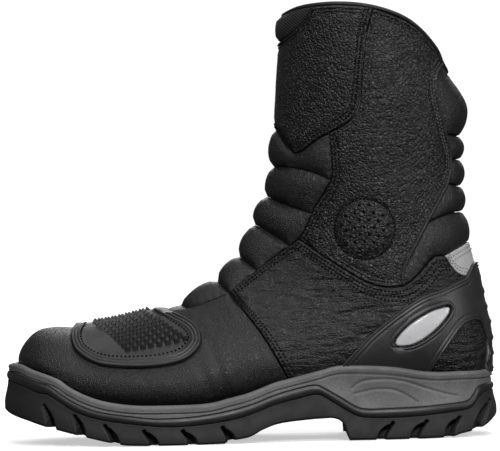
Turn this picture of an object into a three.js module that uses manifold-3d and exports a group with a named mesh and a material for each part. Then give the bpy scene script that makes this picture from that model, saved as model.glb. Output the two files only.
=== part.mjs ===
// A left motorcycle riding boot, built as the pieces it comes apart into.
// Millimetres, +Z up, -X towards the toe, -Y towards the outer side of the foot.
// The origin is on the ground, under the middle of the boot's bounding box.
import * as THREE from "three";
import { mergeVertices } from "three/addons/utils/BufferGeometryUtils.js";
import Module from "manifold-3d";

const wasm = await Module();
wasm.setup();

// ---------- driving dimensions ----------

const LENGTH = 305.8; // over the outsole, toe to heel
const WIDTH = 105.5; // over the midsole at the ball of the foot
const HEIGHT = 268; // ground to the highest point of the collar
const GAP = 0.3; // between pieces that touch
const SEAM = 0.4; // gap between two panels sewn edge to edge
const UPPER_WALL = 2.2; // outer leather with its backing
const STIFFENER_WALL = 1.2; // toe puff, heel stiffener and the other pieces under the leather
const LINING_WALL = 2;
const PAD_RISE = 3.5; // how far the padded ribs stand out of the leather
const CUP_WALL = 2.2; // moulded heel cup
const SHIFT_PAD_WALL = 3;
const REFLECTOR_WALL = 1.6;
const BOARD_THICKNESS = 2.5;
const FOOTBED_THICKNESS = 5;
const BINDING_HEIGHT = 4; // rolled edge round the collar
const SHANK = { length: 100, width: 16, thickness: 1.6 };
const WELT = 3.2; // how far the outsole stands out past the midsole at the toe
const SIDE_WELT = 2.1;
const TREAD = { grooveWidth: 4, grooveDepth: 4.5, sideHeight: 10, sideDepth: 10 };
const ZIP = {
  slit: 4.6, // half of the opening between the two panels
  chain: 2.8, // half of the chain's width
  chainTop: 0.6,
  chainCore: 1.6,
  pitch: 5,
  tooth: 2.7,
  tape: 9.5,
  tapeThickness: 0.8,
};
const SLIDER = { length: 11, wall: 1, plate: 1.2, bail: 2.4, bailWidth: 3 };
const PULL = { length: 26, width: 7, thickness: 1.4, eye: 7.8 };
const FLAP = { length: 42, height: 31, wall: 1.8, margin: 9, marginWall: 1.7, patch: 0.7, patchLength: 18 };
const STEPS = { along: 21, round: 16 }; // facets of the upper's surface
const REACH = 150; // how far a side-view cut runs each way

// ---------- grading ----------

// The patterns below are drawn for one size of boot. A point of a pattern is [x, z] in the side
// view or [x, y] from above. The foot grows with the length, and the shaft's height above the
// ankle and the width are their own.
const DRAWN = { length: 305.8, width: 105.5, height: 268, ankle: 150 };
const grown = (size) => (size * LENGTH) / DRAWN.length;
const wide = (y) => (y * WIDTH) / DRAWN.width;
function tall(z) {
  const ankle = grown(DRAWN.ankle);
  const stretch = (HEIGHT - ankle) / (DRAWN.height - DRAWN.ankle);
  return z < DRAWN.ankle ? grown(z) : ankle + (z - DRAWN.ankle) * stretch;
}
const side = (points) => points.map(([x, z]) => [grown(x), tall(z)]);
const plan = (points) => points.map(([x, y]) => [grown(x), wide(y)]);

const FLEX_HUB = { x: grown(76), z: tall(130), radius: grown(41) }; // the axis the shaft flexes about
const TOE_PUFF_END = grown(-96);
const LINING_JOINTS = [tall(110), tall(150)]; // the lining's soft ankle section lies between them
const SHANK_MIDDLE = grown(42);

// ---------- the upper's surface ----------

// Each row is one cross-section of the last, in a plane that fans from upright at the toe to level
// at the collar. front and back are the ends of the section in the side view, half is its half
// width, shift moves its middle towards the inner side, and low is how far its widest point sits
// towards the sole.
const SECTIONS = [
  { front: [-143.5, 49], back: [-143.5, 49], half: 0, shift: 9, low: 0.15 },
  { front: [-142.5, 55.5], back: [-142, 41.5], half: 14, shift: 8.5, low: 0.15 },
  { front: [-138, 63], back: [-137.5, 35], half: 25, shift: 8, low: 0.15 },
  { front: [-130.5, 69], back: [-129, 29.5], half: 33.5, shift: 7, low: 0.18 },
  { front: [-119.5, 71], back: [-116.5, 24], half: 39.5, shift: 6, low: 0.22 },
  { front: [-104.5, 70.5], back: [-99.5, 18], half: 44.5, shift: 4.5, low: 0.3 },
  { front: [-86, 72], back: [-78.5, 14.5], half: 48, shift: 2.5, low: 0.36 },
  { front: [-64, 77], back: [-53, 13], half: 49, shift: 0.5, low: 0.42 },
  { front: [-45.5, 82.5], back: [-22, 14.5], half: 48, shift: -1, low: 0.45 },
  { front: [-26.5, 93], back: [15.5, 22], half: 45.5, shift: -1.5, low: 0.42 },
  { front: [-10.5, 106], back: [59, 27.5], half: 43, shift: -1, low: 0.38 },
  { front: [0.5, 122.5], back: [108.5, 26], half: 41.5, shift: 0, low: 0.32 },
  { front: [6, 135.5], back: [143.5, 31], half: 40.5, shift: 0, low: 0.22 },
  { front: [11.5, 147], back: [148.5, 57.5], half: 39.5, shift: 0, low: 0.12 },
  { front: [15.5, 159.5], back: [144.5, 82], half: 39, shift: 0, low: 0.05 },
  { front: [17.5, 172], back: [140, 107], half: 40, shift: 0, low: 0 },
  { front: [19, 187.5], back: [133.5, 135], half: 42, shift: 0, low: 0 },
  { front: [20.5, 206], back: [132.5, 166], half: 44, shift: 0, low: 0 },
  { front: [22, 224.5], back: [132, 194], half: 46, shift: 0, low: 0 },
  { front: [23.5, 246], back: [128, 224], half: 47.3, shift: 0, low: 0 },
  { front: [24.5, 274], back: [122, 269], half: 48, shift: 0, low: 0 },
];
const through = (pick) =>
  new THREE.CatmullRomCurve3(
    SECTIONS.map((row) => new THREE.Vector3(...pick(row))),
    false,
    "catmullrom",
  );
const upright = ([x, z]) => [grown(x), 0, tall(z)];
const frontLine = through((row) => upright(row.front));
const backLine = through((row) => upright(row.back));
const girth = through((row) => [wide(row.half), wide(row.shift), row.low]);

// The surface at s from the toe (0) to above the collar (1), and turn, from -pi to pi, from the
// front line round the outer side to the sole or heel line.
function surface(s, turn) {
  const front = frontLine.getPoint(s);
  const back = backLine.getPoint(s);
  const { x: half, y: shift, z: low } = girth.getPoint(s);
  const k = Math.max(low, 1e-6);
  const widest = (1 - Math.sqrt(1 + 8 * k * k)) / (4 * k);
  const scale = Math.sqrt(1 - widest * widest) * (1 - k * widest);
  const point = front.lerp(back, (1 - Math.cos(turn)) / 2);
  point.y = shift - (half * Math.sin(turn) * (1 - k * Math.cos(turn))) / scale;
  return point;
}

function outward(s, turn) {
  const step = 1e-3;
  const s0 = Math.max(s - step, 1e-4);
  const s1 = Math.min(s + step, 1);
  const along = surface(s1, turn).sub(surface(s0, turn));
  const round = surface(s, turn + step).sub(surface(s, turn - step));
  return along.cross(round).normalize().negate();
}

// Where the surface crosses the line through [x, z] of the side view, on the inner side.
function innerSide(x, z) {
  let [low, high] = [0, 1];
  for (let i = 0; i < 40; i++) {
    const s = (low + high) / 2;
    const front = frontLine.getPoint(s);
    const chord = backLine.getPoint(s).sub(front);
    const above = chord.x * (z - front.z) - chord.z * (x - front.x) > 0;
    [low, high] = above ? [s, high] : [low, s];
  }
  const front = frontLine.getPoint(low);
  const chord = backLine.getPoint(low).sub(front);
  const along = ((x - front.x) * chord.x + (z - front.z) * chord.z) / chord.lengthSq();
  return surface(low, -Math.acos(1 - 2 * along));
}

// ---------- solids ----------

function toSolid(geometry) {
  const bare = geometry.index ? geometry.toNonIndexed() : geometry.clone();
  bare.deleteAttribute("normal");
  bare.deleteAttribute("uv");
  const merged = mergeVertices(bare, 1e-4);
  return new wasm.Manifold(
    new wasm.Mesh({
      numProp: 3,
      vertProperties: merged.attributes.position.array,
      triVerts: new Uint32Array(merged.index.array),
    }),
  );
}

function toGeometry(solid) {
  const mesh = solid.getMesh();
  const geometry = new THREE.BufferGeometry();
  geometry.setAttribute("position", new THREE.BufferAttribute(mesh.vertProperties, 3));
  geometry.setIndex(new THREE.BufferAttribute(mesh.triVerts, 1));
  const flat = geometry.toNonIndexed();
  flat.computeVertexNormals();
  return flat;
}

const envelopes = new Map();

// The closed body inside the surface once it is moved outwards by rise.
function envelope(rise) {
  if (envelopes.has(rise)) return envelopes.get(rise);
  const { along, round } = STEPS;
  const toe = surface(0, 0);
  toe.x -= rise;
  const points = [toe];
  for (let i = 1; i <= along; i++)
    for (let j = 0; j < round; j++) {
      const s = i / along;
      const turn = (2 * Math.PI * j) / round - Math.PI;
      points.push(surface(s, turn).addScaledVector(outward(s, turn), rise));
    }
  const last = points.length - round;
  points.push(frontLine.getPoint(1).lerp(backLine.getPoint(1), 0.5));
  const at = (i, j) => 1 + (i - 1) * round + (j % round);
  const index = [];
  for (let j = 0; j < round; j++) {
    index.push(0, at(1, j + 1), at(1, j));
    for (let i = 1; i < along; i++) {
      index.push(at(i, j), at(i, j + 1), at(i + 1, j + 1));
      index.push(at(i, j), at(i + 1, j + 1), at(i + 1, j));
    }
    index.push(points.length - 1, last + j, last + ((j + 1) % round));
  }
  const geometry = new THREE.BufferGeometry().setFromPoints(points).setIndex(index);
  let solid = toSolid(geometry);
  if (solid.volume() < 0) {
    for (let i = 0; i < index.length; i += 3) [index[i], index[i + 1]] = [index[i + 1], index[i]];
    solid = toSolid(geometry.setIndex(index));
  }
  envelopes.set(rise, solid);
  return solid;
}

const layer = (outer, inner) => envelope(outer).subtract(envelope(inner));

// An outline in the side view, [x, z] points, cut straight across from y low to y high.
function sideCut(points, low = -REACH, high = REACH) {
  const shape = new THREE.Shape(points.map(([x, z]) => new THREE.Vector2(x, z)));
  const geometry = new THREE.ExtrudeGeometry(shape, { depth: high - low, bevelEnabled: false });
  return toSolid(geometry.rotateX(Math.PI / 2).translate(0, high, 0));
}

function disc(x, z, radius) {
  const circle = new THREE.EllipseCurve(x, z, radius, radius);
  return sideCut(circle.getPoints(20).slice(1).map((point) => [point.x, point.y]));
}

// An outline in the top view, [x, y] points, from z 0 to the given height.
function topCut(points, height) {
  const shape = new THREE.Shape(points.map(([x, y]) => new THREE.Vector2(x, y)));
  return toSolid(new THREE.ExtrudeGeometry(shape, { depth: height, bevelEnabled: false }));
}

function smooth(points, count, closed = false) {
  const curve = new THREE.CatmullRomCurve3(
    points.map(([x, z]) => new THREE.Vector3(x, 0, z)),
    closed,
    "catmullrom",
  );
  const found = curve.getPoints(count).map((p) => [p.x, p.z]);
  return closed ? found.slice(0, -1) : found;
}

// The outline of a line drawn with a pen of that width.
function ribbon(points, width, closed = false) {
  const count = points.length;
  const side = (sign) =>
    points.map(([x, z], i) => {
      const before = points[closed ? (i + count - 1) % count : Math.max(i - 1, 0)];
      const after = points[closed ? (i + 1) % count : Math.min(i + 1, count - 1)];
      const run = new THREE.Vector2(after[0] - before[0], after[1] - before[1]).normalize();
      return [x - (sign * run.y * width) / 2, z + (sign * run.x * width) / 2];
    });
  if (!closed) return sideCut([...side(1), ...side(-1).reverse()]);
  const [one, two] = [sideCut(side(1)), sideCut(side(-1))];
  return one.volume() > two.volume() ? one.subtract(two) : two.subtract(one);
}

function box(size, centre) {
  return toSolid(new THREE.BoxGeometry(...size).translate(...centre));
}

const HUGE = 1200;
const outerHalf = box([HUGE, HUGE, HUGE], [0, -HUGE / 2 - SEAM / 2, 0]);
const innerHalf = box([HUGE, HUGE, HUGE], [0, HUGE / 2 + SEAM / 2, 0]);

// ---------- lines in the side view ----------

const hubPoint = (degrees, radius) => [
  FLEX_HUB.x + radius * Math.cos((degrees * Math.PI) / 180),
  FLEX_HUB.z + radius * Math.sin((degrees * Math.PI) / 180),
];
// Points round the shaft's lower end, from the front under it to the heel side.
const hubArc = (from, to, radius, count = 9) =>
  Array.from({ length: count }, (_, i) =>
    hubPoint(from + ((to - from) * i) / (count - 1), radius),
  );

const SEAT_LINE = side([
  [-170, 50],
  [-145, 46.5],
  [-122, 38.5],
  [-103.5, 27.5],
  [-85, 22],
  [-56.5, 19],
  [-36, 20],
  [-17, 22.5],
  [0, 27.5],
  [15, 32.5],
  [38, 38],
  [60, 38],
  [85, 36],
  [170, 36],
]);
const COLLAR = smooth(
  side([
    [5, 261],
    [22.5, 264],
    [36.5, 267.5],
    [60.5, 268],
    [84, 264.5],
    [104, 256.5],
    [119.5, 242],
    [126, 230],
    [140, 212],
  ]),
  16,
);
const SHIN_TIP = side([
  [43, 182.5],
  [35, 176.5],
  [30, 176],
  [25, 181],
  [19, 191.5],
  [0, 223],
]);
const SHIN_OUTER_EDGE = side([
  [86, 290],
  [80, 262],
  [76, 250],
  [73, 230],
  [70, 205],
  [66, 195],
  [53, 188],
]);
const SHIN_INNER_EDGE = side([
  [57, 290],
  [56, 257],
  [54, 220],
  [52.5, 195],
  [51, 187],
]);
const SHIN_OUTER = [...SHIN_OUTER_EDGE, ...SHIN_TIP];
const SHIN_INNER = [...SHIN_INNER_EDGE, ...SHIN_TIP];
const GUSSET = side([
  [45, 285],
  [43, 265.5],
  [40, 258],
  [33.5, 251],
  [23.5, 244.5],
  [0, 236],
]);
const FRONT_SEAM = [
  ...side([
    [51.5, 187],
    [53, 171],
    [52, 158],
    [43, 143.5],
  ]),
  hubPoint(184, FLEX_HUB.radius),
  ...side([[31.5, 122.5]]),
];
const BACK_SEAM = [
  ...side([
    [140, 246],
    [125, 231],
    [118, 222],
    [117.5, 210],
    [123, 185],
    [126, 170],
    [123, 154],
    [110, 131],
    [99, 111],
    [95, 101],
  ]),
  hubPoint(-58, FLEX_HUB.radius + GAP),
];
const INSTEP_SEAM = side([
  [-11.5, 90.5],
  [6, 104],
  [26, 118.5],
  [31.5, 122.5],
]);
const VAMP_SEAM = side([
  [-60, 90],
  [-42, 84],
  [-35.5, 82.5],
  [-25.5, 85],
  [-11.5, 90.5],
]);
const QUARTER_SEAM = side([
  [-11.5, 90.5],
  [5.5, 69],
  [15.5, 53],
  [40, 10],
]);
// Valleys between the ribs over the instep, from in front of the boot to the seam they end on.
const INSTEP_VALLEYS = [
  [[-36, 114], [-19.5, 98.5], [-11.5, 90.5]],
  [[-22, 125], [-5.5, 113], [6, 104]],
  [[-16, 139], [4, 132.5], [13, 127.5], [26, 118.5]],
  [[-10, 155], [12.5, 149.5], [19, 146], [40, 138]],
  [[-5, 169], [17, 167.5], [31.5, 166], [43, 162.5], [52, 158]],
].map(side);
// What the front seam adds to the end of each rib.
const INSTEP_ENDS = [[], [], [], FRONT_SEAM.slice(4).reverse(), [FRONT_SEAM[3]], [FRONT_SEAM[1]]];
const TOP_RIB_EDGE = [...[...SHIN_TIP].reverse(), ...side([[51.5, 187]])];
// Valleys between the ribs down the calf, from the seam to behind the boot.
const CALF_VALLEYS = [
  [[123, 185], [135.5, 183.5], [160, 179]],
  [[126, 170], [134, 169.5], [160, 168]],
  [[123, 154], [134.5, 153], [160, 153]],
  [[110, 131], [123.5, 136], [134.5, 137.5], [160, 139]],
].map(side);
const STRIP_TOP = [
  hubPoint(-28, FLEX_HUB.radius),
  ...side([
    [121, 110.5],
    [139.5, 120],
    [165, 133],
  ]),
];
const STRIP_BOTTOM = side([
  [121, 110.5],
  [132.5, 98],
  [165, 97],
]);
const SHIFT_PAD = side([
  [-109, 80],
  [-110, 67],
  [-104.5, 55],
  [-89, 47],
  [-61, 46],
  [-40, 49.5],
  [-29, 58],
  [-29, 68],
  [-38, 76.5],
  [-52, 85],
]);
const CUP_EDGE = side([
  [52, 42],
  [65, 55],
  [90, 76],
  [105, 85.5],
  [132.5, 96],
  [138, 105.5],
  [160, 106],
  [165, 30],
  [52, 30],
]);
const CUP_WINDOW = side([
  [108, 34],
  [119.5, 54.5],
  [128, 66],
  [134.5, 70],
  [140.5, 69],
  [143.5, 60],
  [144, 34],
]);
const REFLECTOR = side([
  [90.5, 57],
  [95.5, 54],
  [106, 55.5],
  [117.5, 64.5],
  [125.5, 76],
  [122, 79.5],
  [110, 74.5],
  [99, 67.5],
]);
const HEEL_STIFFENER = side([
  [88, 20],
  [98, 66],
  [120, 86],
  [165, 92],
  [165, 20],
]);
const SHIN_GUARD = side([
  [-20, 158],
  [30, 158],
  [42, 172],
  [44, 200],
  [42, 238],
  [-20, 238],
]);
const MIDSOLE_TOP = smooth(
  side([
    [-165, 50],
    [-145, 49],
    [-125, 43.5],
    [-110, 35.5],
    [-88, 27],
    [-51.5, 24],
    [-12, 27.5],
    [25, 38.5],
    [55, 45],
    [80, 44.5],
    [114, 40],
    [143.5, 40],
    [165, 41.5],
  ]),
  22,
);
const WELT_TOP = side([
  [-165, 46],
  [-143, 43.5],
  [-122, 36],
  [-103.5, 24.5],
  [-85, 19],
  [-56.5, 16],
  [-17, 19],
  [15, 28.5],
  [39.5, 34],
  [54.5, 26.5],
  [68, 18.5],
  [123.5, 20.5],
  [132.5, 22],
  [140.5, 30.5],
  [165, 32.5],
]);
const GROUND_LINE = side([
  [-154, 44],
  [-153, 23],
  [-149, 20],
  [-122, 11.5],
  [-96, 4.5],
  [-68, 0],
  [-16, 0],
  [-12.5, 2.2],
  [-1, 3.5],
  [8, 8],
  [19.5, 11.5],
  [42, 13.5],
  [53, 13],
  [57, 9],
  [59.5, 0],
  [118, 0],
  [140, 5],
  [150, 11],
  [154, 20],
  [154, 31],
]);
const GROOVES = [-122, -104, -84, -61, -37.5, -14, 81, 103, 123, 141].map(grown);

// Outline of the midsole from above: the outer side first, then the inner side back to the toe.
const SOLE_OUTLINE = smooth(
  plan([
    [-149.6, 8],
    [-143, -14],
    [-129, -32],
    [-104, -44.5],
    [-76, -51.5],
    [-48, -52.7],
    [-15, -49.5],
    [25, -45],
    [75, -42.5],
    [115, -38],
    [140, -27.5],
    [149.6, 0],
    [140, 27.5],
    [115, 37],
    [75, 41],
    [25, 41.5],
    [-15, 44],
    [-48, 50.5],
    [-76, 52.7],
    [-104, 51.5],
    [-129, 43.5],
    [-143, 29],
  ]),
  44,
  true,
);

// ---------- regions that cut the layers ----------

const lift = (points, height) => points.map(([x, z]) => [x, z + height]);
const TOP = [[HUGE / 2, HUGE / 2], [-HUGE / 2, HUGE / 2]];
const aboveSeat = (height) => sideCut([...lift(SEAT_LINE, height), ...TOP]);
const seatBand = (low, high) => aboveSeat(low).subtract(aboveSeat(high));
const [frontOfCollar, backOfCollar] = [COLLAR[0], COLLAR.at(-1)];
const belowCollar = sideCut([
  ...COLLAR,
  [backOfCollar[0], -HUGE],
  [-HUGE / 2, -HUGE],
  [-HUGE / 2, frontOfCollar[1] - 20],
  [frontOfCollar[0], frontOfCollar[1] - 20],
]);
const trimmedTop = belowCollar.subtract(ribbon(COLLAR, 2 * (BINDING_HEIGHT + GAP)));
const above = (height) => box([HUGE, HUGE, HUGE], [0, 0, height + HUGE / 2]);
const below = (height) => box([HUGE, HUGE, HUGE], [0, 0, height - HUGE / 2]);

const seams = [
  ribbon(SHIN_OUTER, SEAM).intersect(outerHalf),
  ribbon(SHIN_INNER, SEAM).intersect(innerHalf),
  ribbon(GUSSET, SEAM),
  ribbon(FRONT_SEAM, SEAM),
  ribbon(BACK_SEAM, SEAM),
  ribbon(INSTEP_SEAM, SEAM),
  ribbon(VAMP_SEAM, SEAM),
  ribbon(QUARTER_SEAM, SEAM),
  ribbon(STRIP_TOP, SEAM),
  ribbon(STRIP_BOTTOM, SEAM),
  ...INSTEP_VALLEYS.map((line) => ribbon(line, SEAM)),
  ...CALF_VALLEYS.map((line) => ribbon(line, SEAM)),
].reduce((all, one) => all.add(one));

// ---------- the zip's own frame ----------

// Local x runs across the zip towards the heel, local y out of the boot, local z up the zip.
// The zip is straight, so it follows the surface between two points of its line.
const ZIP_X = grown(68);
const ZIP_ENDS = [tall(112), tall(218)];
const zipFoot = innerSide(ZIP_X, ZIP_ENDS[0]);
const zipHead = innerSide(ZIP_X, ZIP_ENDS[1]);
const zipLength = zipFoot.distanceTo(zipHead);
const zipUp = zipHead.clone().sub(zipFoot).normalize();
const zipMiddle = (ZIP_ENDS[0] + ZIP_ENDS[1]) / 2;
const zipAcross = innerSide(ZIP_X + ZIP.tape, zipMiddle).sub(innerSide(ZIP_X - ZIP.tape, zipMiddle));
zipAcross.addScaledVector(zipUp, -zipAcross.dot(zipUp)).normalize();
const zipOut = new THREE.Vector3().crossVectors(zipUp, zipAcross).normalize();
const zipFrame = new THREE.Matrix4().makeBasis(zipAcross, zipOut, zipUp).setPosition(zipFoot);

function zipBox(across, out, up) {
  const size = [across[1] - across[0], out[1] - out[0], up[1] - up[0]];
  const centre = [across, out, up].map(([a, b]) => (a + b) / 2);
  return toSolid(new THREE.BoxGeometry(...size).translate(...centre).applyMatrix4(zipFrame));
}

const TAPE_OUT = -UPPER_WALL - GAP; // the tape's outer face
const TAPE_IN = TAPE_OUT - ZIP.tapeThickness;
const tapeWidth = [-ZIP.tape - 1, ZIP.tape + 1];
const slitDepth = [-3 * UPPER_WALL, 9];
const zipSlit = zipBox([-ZIP.slit, ZIP.slit], slitDepth, [-3, zipLength + HEIGHT / 3]);
const zipPocket = zipBox(tapeWidth, [TAPE_IN - 1.5, TAPE_OUT + GAP], [-4, zipLength + 4]);
const zipBack = zipBox(tapeWidth, [TAPE_IN - GAP, 4], [-4, zipLength + 4]);
// Below the zip the two panels meet in a plain seam.
const belowZip = sideCut([
  [ZIP_X - SEAM / 2, FLEX_HUB.z - FLEX_HUB.radius - 5],
  [ZIP_X + SEAM / 2, FLEX_HUB.z - FLEX_HUB.radius - 5],
  [ZIP_X + SEAM / 2, ZIP_ENDS[0]],
  [ZIP_X - SEAM / 2, ZIP_ENDS[0]],
]);

// ---------- pieces ----------

const boot = new THREE.Group();
const LOOKS = {
  leather: { color: 0x1b1b1c, roughness: 0.55 },
  padLeather: { color: 0x222223, roughness: 0.7 },
  textile: { color: 0x141415, roughness: 0.95 },
  lining: { color: 0x2c2c2e, roughness: 0.95 },
  rubber: { color: 0x1d1d1e, roughness: 0.8 },
  midsole: { color: 0x58585a, roughness: 0.75 },
  moulded: { color: 0x262627, roughness: 0.6 },
  reflective: { color: 0xb9b9bb, roughness: 0.35 },
  board: { color: 0x6b5a46, roughness: 0.9 },
  steel: { color: 0x8d9094, roughness: 0.35, metalness: 1 },
  zinc: { color: 0x3a3a3c, roughness: 0.4, metalness: 1 },
};

function place(name, solid, look) {
  const mesh = new THREE.Mesh(toGeometry(solid), new THREE.MeshStandardMaterial(LOOKS[look]));
  mesh.name = name;
  boot.add(mesh);
}

// The leather layer inside an outline of the side view.
const leather = layer(0, -UPPER_WALL).intersect(trimmedTop).intersect(aboveSeat(0)).subtract(seams);
const panel = (points) => leather.intersect(sideCut(points));
const stiffener = layer(-UPPER_WALL - GAP, -UPPER_WALL - GAP - STIFFENER_WALL);
const LINING_OUT = -UPPER_WALL - 2 * GAP - STIFFENER_WALL;
const LINING_IN = LINING_OUT - LINING_WALL;

function makeSole() {
  const cup = envelope(GAP).intersect(aboveSeat(-GAP));
  const between = (low, high) => sideCut([...high, ...[...low].reverse()]);
  const shankSpan = (grow) =>
    box([SHANK.length + 2 * grow, SHANK.width + 2 * grow, HUGE], [SHANK_MIDDLE, 0, 0]);
  const shank = seatBand(-2 * GAP - SHANK.thickness, -2 * GAP).intersect(shankSpan(0));
  const pocket = seatBand(-3 * GAP - SHANK.thickness, 0).intersect(shankSpan(GAP));
  const midsole = topCut(SOLE_OUTLINE, 2 * HEIGHT)
    .intersect(between(WELT_TOP, MIDSOLE_TOP))
    .subtract(cup)
    .subtract(pocket);
  place("midsole", midsole, "midsole");
  place("shank", shank, "steel");

  const stretch = [1 + (2 * WELT) / LENGTH, 1 + (2 * SIDE_WELT) / WIDTH];
  const treadOutline = SOLE_OUTLINE.map(([x, y]) => [x * stretch[0], y * stretch[1]]);
  const ground = [...GROUND_LINE, ...lift(WELT_TOP, -GAP).reverse()];
  let outsole = topCut(treadOutline, 2 * HEIGHT).intersect(sideCut(ground));
  for (const x of GROOVES) outsole = outsole.subtract(groove(x, stretch[1]));
  place("outsole", outsole, "rubber");
}

// One groove across the tread, deeper at the two sides where it shows as a notch.
function groove(x, stretch) {
  const floor = heightOn(GROUND_LINE.slice(1, -2), x);
  const outerHalfOutline = SOLE_OUTLINE.slice(0, 23).map(([a, b]) => [a, -b]);
  const edge = stretch * heightOn(outerHalfOutline, x);
  const across = box([TREAD.grooveWidth, 2 * REACH, 2 * TREAD.grooveDepth], [x, 0, floor]);
  const notch = (sign) =>
    box(
      [TREAD.grooveWidth, REACH, 2 * TREAD.sideHeight],
      [x, sign * (edge - TREAD.sideDepth + REACH / 2), floor],
    );
  return across.add(notch(1)).add(notch(-1));
}

// The second number of a line of points where its first number is x.
function heightOn(line, x) {
  const i = Math.max(1, line.findIndex((point) => point[0] >= x));
  const [x0, z0] = line[i - 1];
  const [x1, z1] = line[i];
  return z0 + ((z1 - z0) * (x - x0)) / (x1 - x0);
}

function makeInsole() {
  const board = envelope(-UPPER_WALL - GAP).intersect(seatBand(0, BOARD_THICKNESS));
  place("insole_board", board, "board");
  const low = BOARD_THICKNESS + GAP;
  const bed = envelope(LINING_IN - GAP).intersect(seatBand(low, low + FOOTBED_THICKNESS));
  place("footbed", bed, "lining");
}

function makeLining() {
  const shell = layer(LINING_OUT, LINING_IN)
    .intersect(aboveSeat(BOARD_THICKNESS + GAP))
    .intersect(trimmedTop)
    .subtract(zipBack);
  const [low, high] = LINING_JOINTS;
  const hub = (radius) => disc(FLEX_HUB.x, FLEX_HUB.z, radius);
  const foot = shell.intersect(below(low)).subtract(hub(FLEX_HUB.radius + 3 * GAP));
  place("lining_foot", foot, "lining");
  const soft = above(low + GAP).add(hub(FLEX_HUB.radius + 2 * GAP)).intersect(below(high - GAP));
  place("lining_ankle", shell.intersect(soft), "lining");
  place("lining_shaft", shell.intersect(above(high)), "lining");
}

function makeFoot() {
  const ahead = side([[-170, 10], [-170, 90]]);
  const vamp = [...VAMP_SEAM, ...QUARTER_SEAM.slice(1), ...ahead];
  place("vamp", panel(vamp), "leather");
  const quarter = [
    ...[...QUARTER_SEAM.slice(1)].reverse(),
    ...INSTEP_SEAM,
    ...hubArc(190, 332, FLEX_HUB.radius + GAP),
    ...STRIP_BOTTOM,
    ...side([[165, 10]]),
  ];
  place("quarter_outer", panel(quarter).intersect(outerHalf), "leather");
  place("quarter_inner", panel(quarter).intersect(innerHalf), "leather");
  const strip = [...STRIP_BOTTOM, ...[...STRIP_TOP.slice(2)].reverse()];
  place("rear_reflective_strip", panel(strip), "reflective");

  const shift = layer(GAP + SHIFT_PAD_WALL, GAP).intersect(sideCut(smooth(SHIFT_PAD, 24, true)));
  place("shift_pad", shift, "rubber");

  const onBoard = aboveSeat(BOARD_THICKNESS + GAP);
  const toe = box([HUGE, HUGE, HUGE], [TOE_PUFF_END - HUGE / 2, 0, 0]);
  place("toe_puff", stiffener.intersect(toe).intersect(onBoard), "board");
  place("heel_stiffener", stiffener.intersect(sideCut(HEEL_STIFFENER)).intersect(onBoard), "board");
}

function makeHeelCup() {
  const reflector = smooth(REFLECTOR, 16, true);
  const edge = ribbon(reflector, 2 * GAP, true);
  const aboveMidsole = sideCut([...lift(MIDSOLE_TOP, GAP), ...TOP]);
  const cup = layer(GAP + CUP_WALL, GAP)
    .intersect(sideCut(CUP_EDGE))
    .intersect(aboveMidsole)
    .subtract(sideCut(smooth(CUP_WINDOW, 12)))
    .subtract(sideCut(reflector))
    .subtract(edge);
  place("heel_cup", cup, "moulded");
  const insert = layer(GAP + REFLECTOR_WALL, GAP).intersect(sideCut(reflector)).subtract(edge);
  place("heel_reflector_outer", insert.intersect(outerHalf), "reflective");
  place("heel_reflector_inner", insert.intersect(innerHalf), "reflective");
}

function makeShaftPanels() {
  const round = FLEX_HUB.radius - GAP;
  const backUp = [...BACK_SEAM].reverse().slice(1);
  const top = [backOfCollar[0], HUGE / 2];
  const frontDown = FRONT_SEAM.slice(0, -1);
  const outer = [...SHIN_OUTER_EDGE, ...frontDown, ...hubArc(184, 302, round), ...backUp, top];
  place("shaft_panel_outer", panel(outer).intersect(outerHalf), "leather");
  const below = 360 - (Math.acos((ZIP_X - FLEX_HUB.x) / round) * 180) / Math.PI;
  const aboveZip = [ZIP_X, HUGE / 2];
  const innerPanels = {
    shaft_panel_inner_front: [
      ...SHIN_INNER_EDGE,
      ...frontDown,
      ...hubArc(184, below, round, 5),
      aboveZip,
    ],
    shaft_panel_inner_rear: [aboveZip, ...hubArc(below, 302, round, 5), ...backUp, top],
  };
  for (const [name, outline] of Object.entries(innerPanels)) {
    const cut = panel(outline).intersect(innerHalf);
    place(name, cut.subtract(zipSlit).subtract(zipPocket).subtract(belowZip), "leather");
  }

  const aboveShin = [-HUGE / 4, HUGE / 2];
  const shin = sideCut([...SHIN_OUTER, aboveShin], -HUGE / 2, 0)
    .add(sideCut([...SHIN_INNER, aboveShin], -GAP, HUGE / 2));
  const gusset = sideCut([...GUSSET, aboveShin]);
  place("shin_panel", leather.intersect(shin).subtract(gusset), "leather");
  place("collar_gusset", leather.intersect(gusset), "textile");
}

function makeCollar() {
  const rim = belowCollar.intersect(ribbon(COLLAR, 2 * BINDING_HEIGHT));
  place("collar_binding", layer(0, LINING_IN).intersect(rim).subtract(zipSlit), "leather");
}

// Each rib is the band of the padded layer between two valleys.
function makePads() {
  const padded = layer(PAD_RISE, -UPPER_WALL).intersect(trimmedTop).subtract(seams);
  const edges = [VAMP_SEAM, ...INSTEP_VALLEYS, TOP_RIB_EDGE];
  edges.slice(1).forEach((line, i) => {
    const outline = [...edges[i], ...INSTEP_ENDS[i], ...[...line].reverse()];
    place(`instep_pad_${i + 1}`, padded.intersect(sideCut(outline)), "padLeather");
  });
  const lowerEdge = [
    ...BACK_SEAM.slice(8, 10),
    ...hubArc(302, 331, FLEX_HUB.radius - GAP, 4),
    ...STRIP_TOP,
  ];
  const calfEdges = [BACK_SEAM.slice(0, 5), ...CALF_VALLEYS, lowerEdge];
  calfEdges.slice(1).forEach((line, i) => {
    const upper = i ? [...calfEdges[i]].reverse() : calfEdges[0];
    place(`calf_pad_${i + 1}`, padded.intersect(sideCut([...upper, ...line])), "padLeather");
  });
}

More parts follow.
